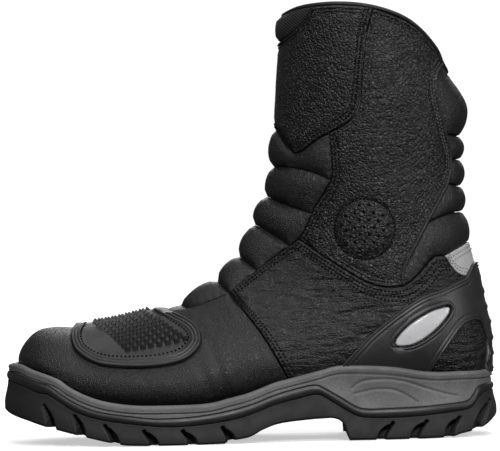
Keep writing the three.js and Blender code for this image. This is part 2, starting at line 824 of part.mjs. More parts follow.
function makeProtectors() {
  place("shin_guard", stiffener.intersect(sideCut(SHIN_GUARD)), "moulded");
  for (const [name, x, z, radius, half] of [
    ["ankle_guard_outer", 72, 128, 19, outerHalf],
    ["ankle_guard_inner", 97, 125, 15, innerHalf],
  ]) {
    const guard = disc(grown(x), tall(z), grown(radius));
    place(name, stiffener.intersect(guard).intersect(half), "moulded");
  }
  const foam = (front) =>
    sideCut(side([[front, 176], [114, 160], [110, 222], [96, 244], [front, 250]]));
  place("shaft_foam_outer", stiffener.intersect(foam(58)).intersect(outerHalf), "lining");
  place("shaft_foam_inner", stiffener.intersect(foam(82)).intersect(innerHalf), "lining");
}

function makeZip() {
  const tapeSpan = [-3.5, zipLength + 3.5];
  place("zip_tape_front", zipBox([-ZIP.tape, -GAP], [TAPE_IN, TAPE_OUT], tapeSpan), "textile");
  place("zip_tape_rear", zipBox([GAP, ZIP.tape], [TAPE_IN, TAPE_OUT], tapeSpan), "textile");
  const foot = TAPE_OUT + GAP;
  const stop = (up) => zipBox([-ZIP.chain, ZIP.chain], [foot, ZIP.chainTop + 0.3], [up, up + 3]);
  place("zip_chain", teeth(foot).add(stop(-2)).add(stop(zipLength - 1)), "zinc");

  const top = zipLength - 1 - GAP;
  const bottom = top - SLIDER.length;
  const inside = ZIP.chain + GAP;
  const outside = inside + SLIDER.wall;
  const roof = ZIP.chainTop + GAP;
  const crown = roof + SLIDER.plate;
  const shell = zipBox([-outside, outside], [foot + GAP, crown], [bottom, top]);
  const tunnel = zipBox([-inside, inside], [2 * foot, roof], [bottom - 1, top + 1]);
  const bailSpan = [-SLIDER.bailWidth / 2, SLIDER.bailWidth / 2];
  const bail = zipBox(bailSpan, [crown - 0.2, crown + SLIDER.bail + 1], [bottom + 2, top - 1]);
  const bailHole = [crown + 0.1, crown + SLIDER.bail - 0.1];
  const hole = zipBox([-outside, outside], bailHole, [bottom + 3, top - 2.5]);
  place("zip_slider", shell.subtract(tunnel).add(bail.subtract(hole)), "zinc");

  const pin = bottom + 4.2;
  const middle = (bailHole[0] + bailHole[1]) / 2;
  const faces = [middle - PULL.thickness / 2, middle + PULL.thickness / 2];
  const plate = zipBox([-PULL.width / 2, PULL.width / 2], faces, [pin + 0.6 - PULL.length, pin + 0.6]);
  const eyeWidth = [bailSpan[0] - GAP, bailSpan[1] + GAP];
  const eye = zipBox(eyeWidth, [faces[0] - 1, faces[1] + 1], [pin - PULL.eye, pin - 0.6]);
  place("zip_pull", plate.subtract(eye), "zinc");
}

// Two rows of teeth meshed along the zip, as one outline with the teeth on alternate sides.
function teeth(foot) {
  const row = (sign) => {
    const points = [];
    for (let up = sign > 0 ? 0 : ZIP.pitch / 2; up + ZIP.pitch < zipLength; up += ZIP.pitch) {
      const [root, tip] = [sign * ZIP.chainCore, sign * ZIP.chain];
      points.push([root, up], [tip, up], [tip, up + ZIP.tooth], [root, up + ZIP.tooth]);
    }
    return points;
  };
  const core = ZIP.chainCore;
  const upRight = [[core, -1], ...row(1), [core, zipLength]];
  const downLeft = [[-core, zipLength], ...row(-1).reverse(), [-core, -1]];
  const shape = new THREE.Shape([...upRight, ...downLeft].map(([x, y]) => new THREE.Vector2(x, y)));
  const depth = ZIP.chainTop - foot;
  const geometry = new THREE.ExtrudeGeometry(shape, { depth, bevelEnabled: false });
  geometry.rotateX(Math.PI / 2).translate(0, ZIP.chainTop, 0);
  return toSolid(geometry.applyMatrix4(zipFrame));
}

// The flap that covers the zip's head, sewn down along its front margin and held by hook and loop.
function makeFlap() {
  const front = grown(56);
  const bottom = tall(226);
  const rear = front + FLAP.length;
  const top = bottom + FLAP.height;
  const marginOut = GAP + FLAP.marginWall;
  const flapIn = Math.max(marginOut, 3 * GAP + 2 * FLAP.patch) + GAP;
  const piece = (outer, inner, points) =>
    layer(outer, inner).intersect(sideCut(points)).intersect(innerHalf);
  const outline = [
    [front, bottom],
    [rear - 6, bottom],
    [rear, bottom + 6],
    [rear, top - 9],
    [rear - 6, top - 3],
    [front, top],
  ];
  place("closure_flap", piece(flapIn + FLAP.wall, flapIn, outline), "leather");
  const margin = [
    [front - FLAP.margin, bottom],
    [front + 3, bottom],
    [front + 3, top],
    [front - FLAP.margin, top],
  ];
  place("closure_flap_margin", piece(marginOut, GAP, margin), "leather");
  const patch = [
    [rear - 3 - FLAP.patchLength, bottom + 4],
    [rear - 3, bottom + 5],
    [rear - 3, top - 9],
    [rear - 3 - FLAP.patchLength, top - 5],
  ];
  place("loop_patch", piece(GAP + FLAP.patch, GAP, patch), "textile");
  place("hook_patch", piece(flapIn - GAP, flapIn - GAP - FLAP.patch, patch), "textile");
}

makeSole();
makeInsole();
makeLining();
makeFoot();
makeHeelCup();
makeShaftPanels();
makeCollar();
makePads();
makeProtectors();
makeZip();
makeFlap();

export default boot;
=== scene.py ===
"""A left motorcycle riding boot: the finished looks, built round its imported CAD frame.

The upper's panels lie on one smooth surface, the last. A place on it is a pair (s, v): s runs from
the toe, 0, to above the collar, 1, and v runs round the section, 0 on the front line, 1 on the sole
or heel line, positive on the outer side. Patterns are side-view points [x, z] or top-view points
[x, y], in the millimetres that the boot is drawn in, and turn into metres when a mesh is made.
"""
import math
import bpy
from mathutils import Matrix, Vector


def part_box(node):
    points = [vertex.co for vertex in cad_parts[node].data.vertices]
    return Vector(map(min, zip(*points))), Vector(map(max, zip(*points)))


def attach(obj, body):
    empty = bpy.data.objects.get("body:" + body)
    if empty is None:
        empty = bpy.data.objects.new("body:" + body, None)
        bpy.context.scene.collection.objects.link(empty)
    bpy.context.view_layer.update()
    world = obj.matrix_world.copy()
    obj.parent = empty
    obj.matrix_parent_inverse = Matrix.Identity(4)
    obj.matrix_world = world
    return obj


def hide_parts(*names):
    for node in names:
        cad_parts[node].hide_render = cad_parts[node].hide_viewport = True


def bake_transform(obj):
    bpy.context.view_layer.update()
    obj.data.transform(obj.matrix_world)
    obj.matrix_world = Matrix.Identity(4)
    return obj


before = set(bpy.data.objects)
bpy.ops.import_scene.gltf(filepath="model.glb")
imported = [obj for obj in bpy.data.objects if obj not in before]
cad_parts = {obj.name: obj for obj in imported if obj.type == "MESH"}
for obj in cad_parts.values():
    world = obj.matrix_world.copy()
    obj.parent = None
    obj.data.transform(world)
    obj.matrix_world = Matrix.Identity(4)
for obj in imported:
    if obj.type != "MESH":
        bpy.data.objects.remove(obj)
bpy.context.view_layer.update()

from types import SimpleNamespace

import bmesh
import bpy
import numpy as np
from mathutils import Vector, noise
from mathutils.bvhtree import BVHTree
from mathutils.geometry import delaunay_2d_cdt
from mathutils.kdtree import KDTree

DRAWN_LENGTH = 305.46  # the outsole's length in the patterns
outsole_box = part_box("outsole")
MM = (outsole_box[1].x - outsole_box[0].x) / DRAWN_LENGTH

UPPER_WALL = 2.2
LINING_OUT = 4.0  # how far the lining lies inside the leather's outer face
LINING_WALL = 2.0
PAD_RISE = 3.5
CUP_WALL = 2.2
SHIFT_WALL = 3.0
STITCH = {"pitch": 2.3, "length": 1.45, "width": 1.15, "rise": 0.3}
# how far inside its edge a panel has extra rings of points
RINGS = (0.35, 0.8, 1.3, 1.75, 2.2, 2.65, 3.3, 3.95, 4.4, 4.85, 5.6)
BEND = (0.102, 0.155)  # heights between which the upper turns from the foot to the shaft

# ---------- the last ----------

# front x, front z, back x, back z, half width, shift of the middle, low (where it is widest)
SECTIONS = np.array([
    (-143.5, 49, -143.5, 49, 0, 9, 0.15),
    (-142.5, 55.5, -142, 41.5, 14, 8.5, 0.15),
    (-138, 63, -137.5, 35, 25, 8, 0.15),
    (-130.5, 69, -129, 29.5, 33.5, 7, 0.18),
    (-119.5, 71, -116.5, 24, 39.5, 6, 0.22),
    (-104.5, 70.5, -99.5, 18, 44.5, 4.5, 0.3),
    (-86, 72, -78.5, 14.5, 48, 2.5, 0.36),
    (-64, 77, -53, 13, 49, 0.5, 0.42),
    (-45.5, 82.5, -22, 14.5, 48, -1, 0.45),
    (-26.5, 93, 15.5, 22, 45.5, -1.5, 0.42),
    (-10.5, 106, 59, 27.5, 43, -1, 0.38),
    (0.5, 122.5, 108.5, 26, 41.5, 0, 0.32),
    (6, 135.5, 143.5, 31, 40.5, 0, 0.22),
    (11.5, 147, 148.5, 57.5, 39.5, 0, 0.12),
    (15.5, 159.5, 144.5, 82, 39, 0, 0.05),
    (17.5, 172, 140, 107, 40, 0, 0),
    (19, 187.5, 133.5, 135, 42, 0, 0),
    (20.5, 206, 132.5, 166, 44, 0, 0),
    (22, 224.5, 132, 194, 46, 0, 0),
    (23.5, 246, 128, 224, 47.3, 0, 0),
    (24.5, 274, 122, 269, 48, 0, 0),
])


def catmull(rows, at):
    """A smooth line through the rows, at positions counted in rows."""
    ends = np.vstack([2 * rows[0] - rows[1], rows, 2 * rows[-1] - rows[-2]])
    at = np.clip(at, 0, len(rows) - 1)
    i = np.minimum(at.astype(int), len(rows) - 2)
    t = (at - i)[..., None]
    a, b, c, d = (ends[i + k] for k in range(4))
    return b + t / 2 * (c - a + t * (2 * a - 5 * b + 4 * c - d + t * (3 * (b - c) + d - a)))


def section(s):
    return catmull(SECTIONS, np.asarray(s, float) * (len(SECTIONS) - 1))


def surface(s, v):
    row = section(s)
    front, back = row[..., 0:2], row[..., 2:4]
    half, shift, low = row[..., 4], row[..., 5], np.maximum(row[..., 6], 1e-6)
    turn = np.pi * np.asarray(v, float)
    widest = (1 - np.sqrt(1 + 8 * low**2)) / (4 * low)
    scale = np.sqrt(1 - widest**2) * (1 - low * widest)
    side = front + ((1 - np.cos(turn)) / 2)[..., None] * (back - front)
    y = shift - half * np.sin(turn) * (1 - low * np.cos(turn)) / scale
    return np.stack([side[..., 0], y, side[..., 1]], -1)


def outward(s, v, step=2e-3):
    along = surface(np.minimum(s + step, 1), v) - surface(np.maximum(s - step, 1e-4), v)
    across = surface(s, v + step) - surface(s, v - step)
    normal = -np.cross(along, across)
    return normal / np.maximum(np.linalg.norm(normal, axis=-1), 1e-9)[..., None]


def locate(points):
    """s, and the share of the way from the front line to the back line, of side-view points."""
    x, z = np.asarray(points, float).T
    low, high = np.zeros(len(x)), np.ones(len(x))
    for _ in range(36):
        s = (low + high) / 2
        row = section(s)
        chord = row[:, 2:4] - row[:, 0:2]
        above = chord[:, 0] * (z - row[:, 1]) - chord[:, 1] * (x - row[:, 0]) > 0
        low, high = np.where(above, s, low), np.where(above, high, s)
    row = section(low)
    chord = row[:, 2:4] - row[:, 0:2]
    to = np.stack([x, z], -1) - row[:, 0:2]
    return low, (to * chord).sum(1) / np.maximum((chord**2).sum(1), 1e-9)


class Upper:
    """The last, laid flat without changing angles, so that triangles stay even.

    The plain chart is (u, turn). The round one wraps it about the toe as (e^u cos, e^u sin).
    """

    def __init__(self, is_round=False):
        self.is_round = is_round
        self.s = np.concatenate([np.linspace(0.004, 0.1, 40), np.linspace(0.105, 1, 240)])
        turns = np.linspace(-1, 1, 65)
        grid = surface(self.s[:, None] + 0 * turns, turns + 0 * self.s[:, None])
        self.girth = np.linalg.norm(np.diff(grid, axis=1), axis=2).sum(1)
        steps = np.linalg.norm(np.diff(grid, axis=0), axis=2).mean(1)
        middle = (self.girth[1:] + self.girth[:-1]) / 2
        self.u = np.concatenate([[0], np.cumsum(steps * 2 * np.pi / middle)])
        self.rise = steps / np.diff(self.s)  # millimetres for each unit of s

    def flat(self, q):
        s, v = q[:, 0], q[:, 1]
        u = np.interp(s, self.s, self.u)
        if not self.is_round:
            return np.stack([u, np.pi * v], -1)
        return np.exp(u)[:, None] * np.stack([np.cos(np.pi * v), np.sin(np.pi * v)], -1)

    def unflat(self, p):
        if not self.is_round:
            return np.stack([np.interp(p[:, 0], self.u, self.s), p[:, 1] / np.pi], -1)
        u = np.log(np.maximum(np.hypot(p[:, 0], p[:, 1]), 1e-9))
        return np.stack([np.interp(u, self.u, self.s), np.arctan2(p[:, 1], p[:, 0]) / np.pi], -1)

    def scale(self, q):
        """Millimetres for each unit of the chart."""
        size = np.interp(q[:, 0], self.s, self.girth) / (2 * np.pi)
        return size / np.exp(np.interp(q[:, 0], self.s, self.u)) if self.is_round else size

    def points(self, q):
        return surface(q[:, 0], q[:, 1]), outward(q[:, 0], q[:, 1])

    def lattice(self, low, high, step):
        rows = []
        s = max(low[0], 0.006)
        while s < high[0]:
            gap = 2 * step / np.interp(s, self.s, self.girth)
            v = np.arange(low[1] - (len(rows) % 2) * gap / 2, high[1], gap)
            rows.append(np.stack([np.full(len(v), s), v], -1))
            s += step * 0.9 / np.interp(s, self.s[1:], self.rise)
        return np.vstack(rows)


class Flat:
    """A flat place in space, for the zip: a pair is millimetres across and up."""

    def __init__(self, origin, across, up):
        self.origin, self.across, self.up = (np.array(a, float) for a in (origin, across, up))
        self.across /= np.linalg.norm(self.across)
        self.up /= np.linalg.norm(self.up)
        self.out = np.cross(self.up, self.across)

    def flat(self, q):
        return q

    unflat = flat

    def scale(self, q):
        return np.ones(len(q))

    def points(self, q):
        place = self.origin + q[:, :1] * self.across + q[:, 1:] * self.up
        return place, np.tile(self.out, (len(q), 1))

    def lattice(self, low, high, step):
        x, y = np.meshgrid(np.arange(low[0], high[0], step), np.arange(low[1], high[1], step * 0.87))
        x[1::2] += step / 2
        return np.stack([x.ravel(), y.ravel()], -1)


SIDE, ROUND = Upper(), Upper(is_round=True)

# ---------- lines on the last ----------


def curve(points, first=0, last=None, step=0.3):
    """The smooth line through the points, from the one numbered first to the one numbered last."""
    points = np.array(points, float)
    last = len(points) - 1 if last is None else last
    length = np.linalg.norm(np.diff(points[first : last + 1], axis=0), axis=1).sum()
    return catmull(points, np.linspace(first, last, max(2, int(length / step))))


def ring(points, count=120):
    """A smooth closed line through the points."""
    points = np.array(points, float)
    looped = np.vstack([points[-2:], points, points[:3]])
    return catmull(looped, np.linspace(2, len(points) + 2, count, endpoint=False))


def turn_of(share):
    """v on the outer side, for a share of the way from the front line to the back line."""
    return np.arccos(1 - 2 * np.clip(share, 0, 1)) / np.pi


def trace(line):
    """A side-view line as pairs (s, v) on the outer side, cut where it leaves the boot's outline."""
    s, t = locate(line)
    inside = np.flatnonzero((t >= 0) & (t <= 1))
    first, last = inside[0], inside[-1]
    s_in, t_in = list(s[first : last + 1]), list(t[first : last + 1])
    if first > 0:
        s_in.insert(0, s[first])
        t_in.insert(0, float(t[first - 1] > 0.5))
    if last < len(t) - 1:
        s_in.append(s[last])
        t_in.append(float(t[last + 1] > 0.5))
    return np.stack([s_in, turn_of(t_in)], -1)


def spaced(skin, pairs, step):
    """The same line with its points evenly spaced in space, its two ends kept."""
    places = skin.points(pairs)[0]
    length = np.concatenate([[0], np.cumsum(np.linalg.norm(np.diff(places, axis=0), axis=1))])
    count = max(2, int(round(length[-1] / step)) + 1)
    at = np.linspace(0, length[-1], count)
    return np.stack([np.interp(at, length, pairs[:, k]) for k in range(2)], -1)


def outline(skin, *lines, step=1.6):
    """A closed outline from lines that meet end to start."""
    parts = [spaced(skin, line, step)[:-1] for line in lines if len(line) > 1]
    return np.vstack(parts)


def mirrored(pairs):
    return pairs * [1, -1]


def wrapped(half, other=None):
    """Outline lines of a piece that crosses the front line (v 0) or the back line (v 1)."""
    other = half if other is None else other
    centre = 2 if half[0][0, 1] > 0.5 else 0
    back = [np.stack([line[::-1, 0], centre - line[::-1, 1]], -1) for line in other[::-1]]
    return [*half, *back]


def straight(start, end, count=40):
    return np.linspace(start, end, count)


# ---------- meshes ----------


class Shape:
    """Points in drawn millimetres, with faces and their material numbers."""

    def __init__(self):
        self.points, self.edges_at, self.faces, self.looks, self.sharp = [], [], [], [], []
        self.count = 0

    def add(self, points, faces, look=0, flat=False, edge=None):
        points = np.asarray(points, float)
        self.points.append(points)
        self.edges_at.append(np.full(len(points), 9.0) if edge is None else edge)
        self.faces += [tuple(self.count + int(i) for i in face) for face in faces]
        self.looks += [look] * len(faces)
        self.sharp += [flat] * len(faces)
        self.count += len(points)


def even_odd(p, loops):
    inside = np.zeros(len(p), bool)
    for loop in loops:
        a, b = loop, np.roll(loop, -1, axis=0)
        for (ax, ay), (bx, by) in zip(a, b):
            crosses = (ay > p[:, 1]) != (by > p[:, 1])
            if crosses.any():
                x = ax + (p[:, 1] - ay) * (bx - ax) / ((by - ay) or 1e-12)
                inside ^= crosses & (p[:, 0] < x)
    return inside


def kd(points):
    tree = KDTree(len(points))
    for i, point in enumerate(points):
        tree.insert(point, i)
    tree.balance()
    return tree


def distances(tree, points):
    found = [tree.find(point) for point in points.tolist()]
    return np.array([f[2] for f in found]), np.array([f[1] for f in found])


def wobble(points, size, seed=0.0):
    """Smooth noise from about -1 to 1 at each point, with bumps about that size."""
    scaled = np.asarray(points) / size + seed
    return np.array([noise.noise(p) for p in scaled.tolist()])


def smoothstep(x):
    x = np.clip(x, 0, 1)
    return x * x * (3 - 2 * x)


def swell(points, faces, fixed, rounds=160):
    """How high a skin sewn down along its rim stands under pressure, from 0 to 1: its membrane
    equation solved on the panel's own triangles by conjugate gradients."""
    count = len(points)
    heads, tails, weights = [], [], []
    for k in range(3):
        i, j, o = faces[:, k], faces[:, (k + 1) % 3], faces[:, (k + 2) % 3]
        one, two = points[i] - points[o], points[j] - points[o]
        area = np.maximum(np.linalg.norm(np.cross(one, two), axis=1), 1e-6)
        cot = np.clip((one * two).sum(1) / area, 0.02, 20) / 2
        heads += [i, j]
        tails += [j, i]
        weights += [cot, cot]
    heads, tails, weights = map(np.concatenate, (heads, tails, weights))
    a, b, c = (points[faces[:, k]] for k in range(3))
    areas = np.linalg.norm(np.cross(b - a, c - a), axis=1) / 6
    load = sum(np.bincount(faces[:, k], areas, count) for k in range(3))
    total = np.bincount(heads, weights, count)
    free = (~fixed).astype(float)

    def pull(u):
        return free * (total * u - np.bincount(heads, weights * u[tails], count))

    u, left = np.zeros(count), load * free
    way, size = left.copy(), (left**2).sum()
    for _ in range(rounds):
        pulled = pull(way)
        share = size / max((way * pulled).sum(), 1e-12)
        u, left = u + share * way, left - share * pulled
        size, before = (left**2).sum(), size
        if size < 1e-8:
            break
        way = left + size / before * way
    return np.clip(u / u.max(), 0, 1)


def sheet(skin, loops, level=0.0, wall=UPPER_WALL, rim=1.2, step=1.9, rings=RINGS, relief=None,
          extra=None, look=0, under=0.0, seam=0.15):
    """A closed piece of sheet on a skin: its edges rounded, its outer face shaped by relief(spot).

    loops is the outline and then the holes, as pairs. extra is more pairs that get a point.
    """
    rim_flat, inner = [], []
    for number, loop in enumerate(loops):
        p = skin.flat(loop)
        area = (p[:, 0] * np.roll(p[:, 1], -1) - p[:, 1] * np.roll(p[:, 0], -1)).sum()
        if (area > 0) == (number > 0):
            loop, p = loop[::-1], p[::-1]
        way = np.roll(p, -1, axis=0) - np.roll(p, 1, axis=0)
        way /= np.maximum(np.linalg.norm(way, axis=1), 1e-12)[:, None]
        inward = np.stack([-way[:, 1], way[:, 0]], -1) / skin.scale(loop)[:, None]
        rim_flat.append(p + inward * seam)
        inner += [(p + inward * (d + seam), d) for d in rings]
    places = []
    for p in rim_flat:
        closed = np.vstack([p, p[:1]])
        mid = (closed[1:] + closed[:-1]) / 2
        dense = np.stack([p, mid], 1).reshape(-1, 2)
        places.append(skin.points(skin.unflat(dense))[0])
    walk = [np.concatenate([[0], np.cumsum(np.linalg.norm(np.diff(q, axis=0), axis=1))]) for q in places]
    rim_places, walk = np.vstack(places), np.concatenate(walk)
    rim_tree = kd(rim_places.tolist())

    candidates = []
    for p, d in inner:
        q = skin.unflat(p)
        away, _ = distances(rim_tree, skin.points(q)[0])
        candidates.append(p[away > 0.8 * d])
    reach = skin.unflat(rim_flat[0])
    low, high = reach.min(0), reach.max(0)
    if skin is ROUND:
        low, high = (0.006, -1.0), (high[0], 1.0)
    grid = skin.lattice(low, high, step)
    grid_flat = skin.flat(grid)
    grid_flat = grid_flat[even_odd(grid_flat, rim_flat)]
    if extra is not None:
        extra_flat = skin.flat(extra)
        extra_flat = extra_flat[even_odd(extra_flat, rim_flat)]
        extra_tree = kd(skin.points(skin.unflat(extra_flat))[0].tolist())
        away, _ = distances(extra_tree, skin.points(skin.unflat(grid_flat))[0])
        grid_flat = grid_flat[away > 0.55 * step]
        candidates.append(extra_flat)
    away, _ = distances(rim_tree, skin.points(skin.unflat(grid_flat))[0])
    candidates.append(grid_flat[away > max(rings, default=0) + 0.5 * step])
    candidates = [p[even_odd(p, rim_flat)] for p in candidates]

    points2, edges = [], []
    for p in rim_flat:
        first = len(points2)
        points2 += p.tolist()
        edges += [(first + i, first + (i + 1) % len(p)) for i in range(len(p))]
    points2 += np.vstack(candidates).tolist()
    found = delaunay_2d_cdt([Vector(p) for p in points2], edges, [], 1, 1e-7)
    flat = np.array([list(p) for p in found[0]])
    faces = np.array([list(face) for face in found[2]])
    centres = flat[faces].mean(1)
    faces = faces[even_odd(centres, rim_flat)]
    used = np.unique(faces)
    renumber = np.full(len(flat), -1)
    renumber[used] = np.arange(len(used))
    flat, faces = flat[used], renumber[faces]

    q = skin.unflat(flat)
    place, normal = skin.points(q)
    away, nearest = distances(rim_tree, place)
    pairs = np.sort(np.vstack([faces[:, [0, 1]], faces[:, [1, 2]], faces[:, [2, 0]]]), axis=1)
    _, index, times = np.unique(pairs, axis=0, return_index=True, return_counts=True)
    directed = np.vstack([faces[:, [0, 1]], faces[:, [1, 2]], faces[:, [2, 0]]])[index[times == 1]]
    on_rim = np.zeros(len(q), bool)
    on_rim[directed.ravel()] = True
    away[on_rim] = 0
    spot = SimpleNamespace(s=q[:, 0], v=q[:, 1], q=q, p=place, n=normal, d=away, t=walk[nearest],
                           faces=faces, rim=on_rim)
    near = np.clip(1 - away / max(rim, 1e-6), 0, 1)
    height = level - rim * (1 - np.sqrt(1 - near**2))
    if relief is not None:
        height = height + relief(spot)
    top = place + normal * height[:, None]
    near = np.clip(1 - away / max(under, 1e-6), 0, 1) if under else np.zeros(len(away))
    bottom = place + normal * (level - wall + under * (1 - np.sqrt(1 - near**2)))[:, None]
    made = Shape()
    count = len(top)
    sides = [(b, a, a + count, b + count) for a, b in directed]
    under_faces = [(c + count, b + count, a + count) for a, b, c in faces]
    edge = np.concatenate([away, away])
    made.add(np.vstack([top, bottom]), [*map(tuple, faces), *under_faces, *sides], look, edge=edge)
    made.spot = spot
    made.top = top
    made.skin = skin
    return made


def stitch(made, pairs, look=1, pitch=None, size=1.0):
    """A row of stitches along pairs, lying on the outer face of the sheet."""
    tree = BVHTree.FromPolygons(made.top.tolist(), made.spot.faces.tolist())
    line = spaced(made.skin, pairs, (pitch or STITCH["pitch"]))
    middle = (line[1:] + line[:-1]) / 2
    place, normal = made.skin.points(middle)
    ahead = made.skin.points(line[1:])[0] - made.skin.points(line[:-1])[0]
    for p, n, way in zip(place, normal, ahead):
        hit = tree.ray_cast(Vector(p + 9 * n), Vector(-n), 16)
        if hit[0] is None:
            continue
        face_normal = np.array(hit[1])
        if face_normal @ n < 0:
            face_normal = -face_normal
        bead(made, np.array(hit[0]), way, face_normal, look, size)


def bead(made, centre, way, normal, look, size):
    """One stitch: a short bent thread that dives in at both ends."""
    way = way - normal * (way @ normal)
    length = np.linalg.norm(way)
    if length < 1e-6:
        return
    way = way / length
    across = np.cross(normal, way)
    half, wide, rise = (STITCH[k] * size * f for k, f in (("length", 0.5), ("width", 0.5), ("rise", 1)))
    points = []
    for t, fat in ((-1, 0.45), (-0.6, 0.9), (0, 1), (0.6, 0.9), (1, 0.45)):
        middle = centre + way * half * t + normal * (rise * (1 - 1.5 * t * t))
        for k in range(6):
            a = math.pi * k / 3
            points.append(middle + fat * wide * (across * math.cos(a) + 0.8 * normal * math.sin(a)))
    faces = [(6 * i + k, 6 * i + (k + 1) % 6, 6 * i + 6 + (k + 1) % 6, 6 * i + 6 + k)
             for i in range(4) for k in range(6)]
    faces += [tuple(range(5, -1, -1)), tuple(range(24, 30))]
    made.add(points, faces, look)


def beside(skin, pairs, inset):
    """The line moved sideways by inset millimetres, positive to its left in the chart."""
    p = skin.flat(pairs)
    way = np.gradient(p, axis=0)
    way /= np.maximum(np.linalg.norm(way, axis=1), 1e-12)[:, None]
    aside = np.stack([-way[:, 1], way[:, 0]], -1) / skin.scale(pairs)[:, None]
    return skin.unflat(p + aside * inset)


def sweep(made, path, normals, profile, look=0, closed=False, caps=True):
    """A profile of [out, across] points carried along a path in space."""
    way = np.gradient(path, axis=0)
    if closed:
        way = np.roll(path, -1, axis=0) - np.roll(path, 1, axis=0)
    way /= np.linalg.norm(way, axis=1)[:, None]
    side = np.cross(normals, way)
    side /= np.linalg.norm(side, axis=1)[:, None]
    out = np.cross(way, side)
    profile = np.asarray(profile, float)
    points = (path[:, None] + out[:, None] * profile[None, :, :1] + side[:, None] * profile[None, :, 1:])
    count, around = len(path), len(profile)
    faces = []
    for i in range(count if closed else count - 1):
        for k in range(around):
            a, b = i * around, ((i + 1) % count) * around
            faces.append((a + k, a + (k + 1) % around, b + (k + 1) % around, b + k))
    if not closed and caps:
        faces += [tuple(range(around))[::-1], tuple(range((count - 1) * around, count * around))]
    made.add(points.reshape(-1, 3), faces, look)


def circle(out, across, count=10):
    turn = np.linspace(0, 2 * np.pi, count, endpoint=False)
    return np.stack([out * np.cos(turn), across * np.sin(turn)], -1)


def piece(name, made, looks, body, nodes):
    """Makes the object, seats it on its body, and hides the CAD nodes it stands for."""
    mesh = bpy.data.meshes.new(name)
    points = np.vstack(made.points) * MM
    mesh.from_pydata(points.tolist(), [], made.faces)
    for look in looks:
        mesh.materials.append(look)
    mesh.polygons.foreach_set("material_index", made.looks)
    mesh.polygons.foreach_set("use_smooth", [not flat for flat in made.sharp])
    grain = mesh.attributes.new("grain", "FLOAT_VECTOR", "POINT")
    grain.data.foreach_set("vector", points.astype(np.float32).ravel())
    rim = mesh.attributes.new("rim", "FLOAT", "POINT")
    rim.data.foreach_set("value", np.concatenate(made.edges_at).astype(np.float32))
    turned = bmesh.new()
    turned.from_mesh(mesh)
    bmesh.ops.recalc_face_normals(turned, faces=turned.faces)
    turned.to_mesh(mesh)
    turned.free()
    made_object = bpy.data.objects.new(name, mesh)
    bpy.context.scene.collection.objects.link(made_object)
    heights = points[:, 2]
    if body == "upper" and heights.min() < BEND[1] and heights.max() > BEND[0]:
        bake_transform(made_object)
    else:
        if body == "upper":
            body = "foot" if heights.max() <= BEND[0] else "shaft"
        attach(made_object, body)
    if nodes:
        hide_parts(*nodes)
    return made_object


# ---------- materials ----------


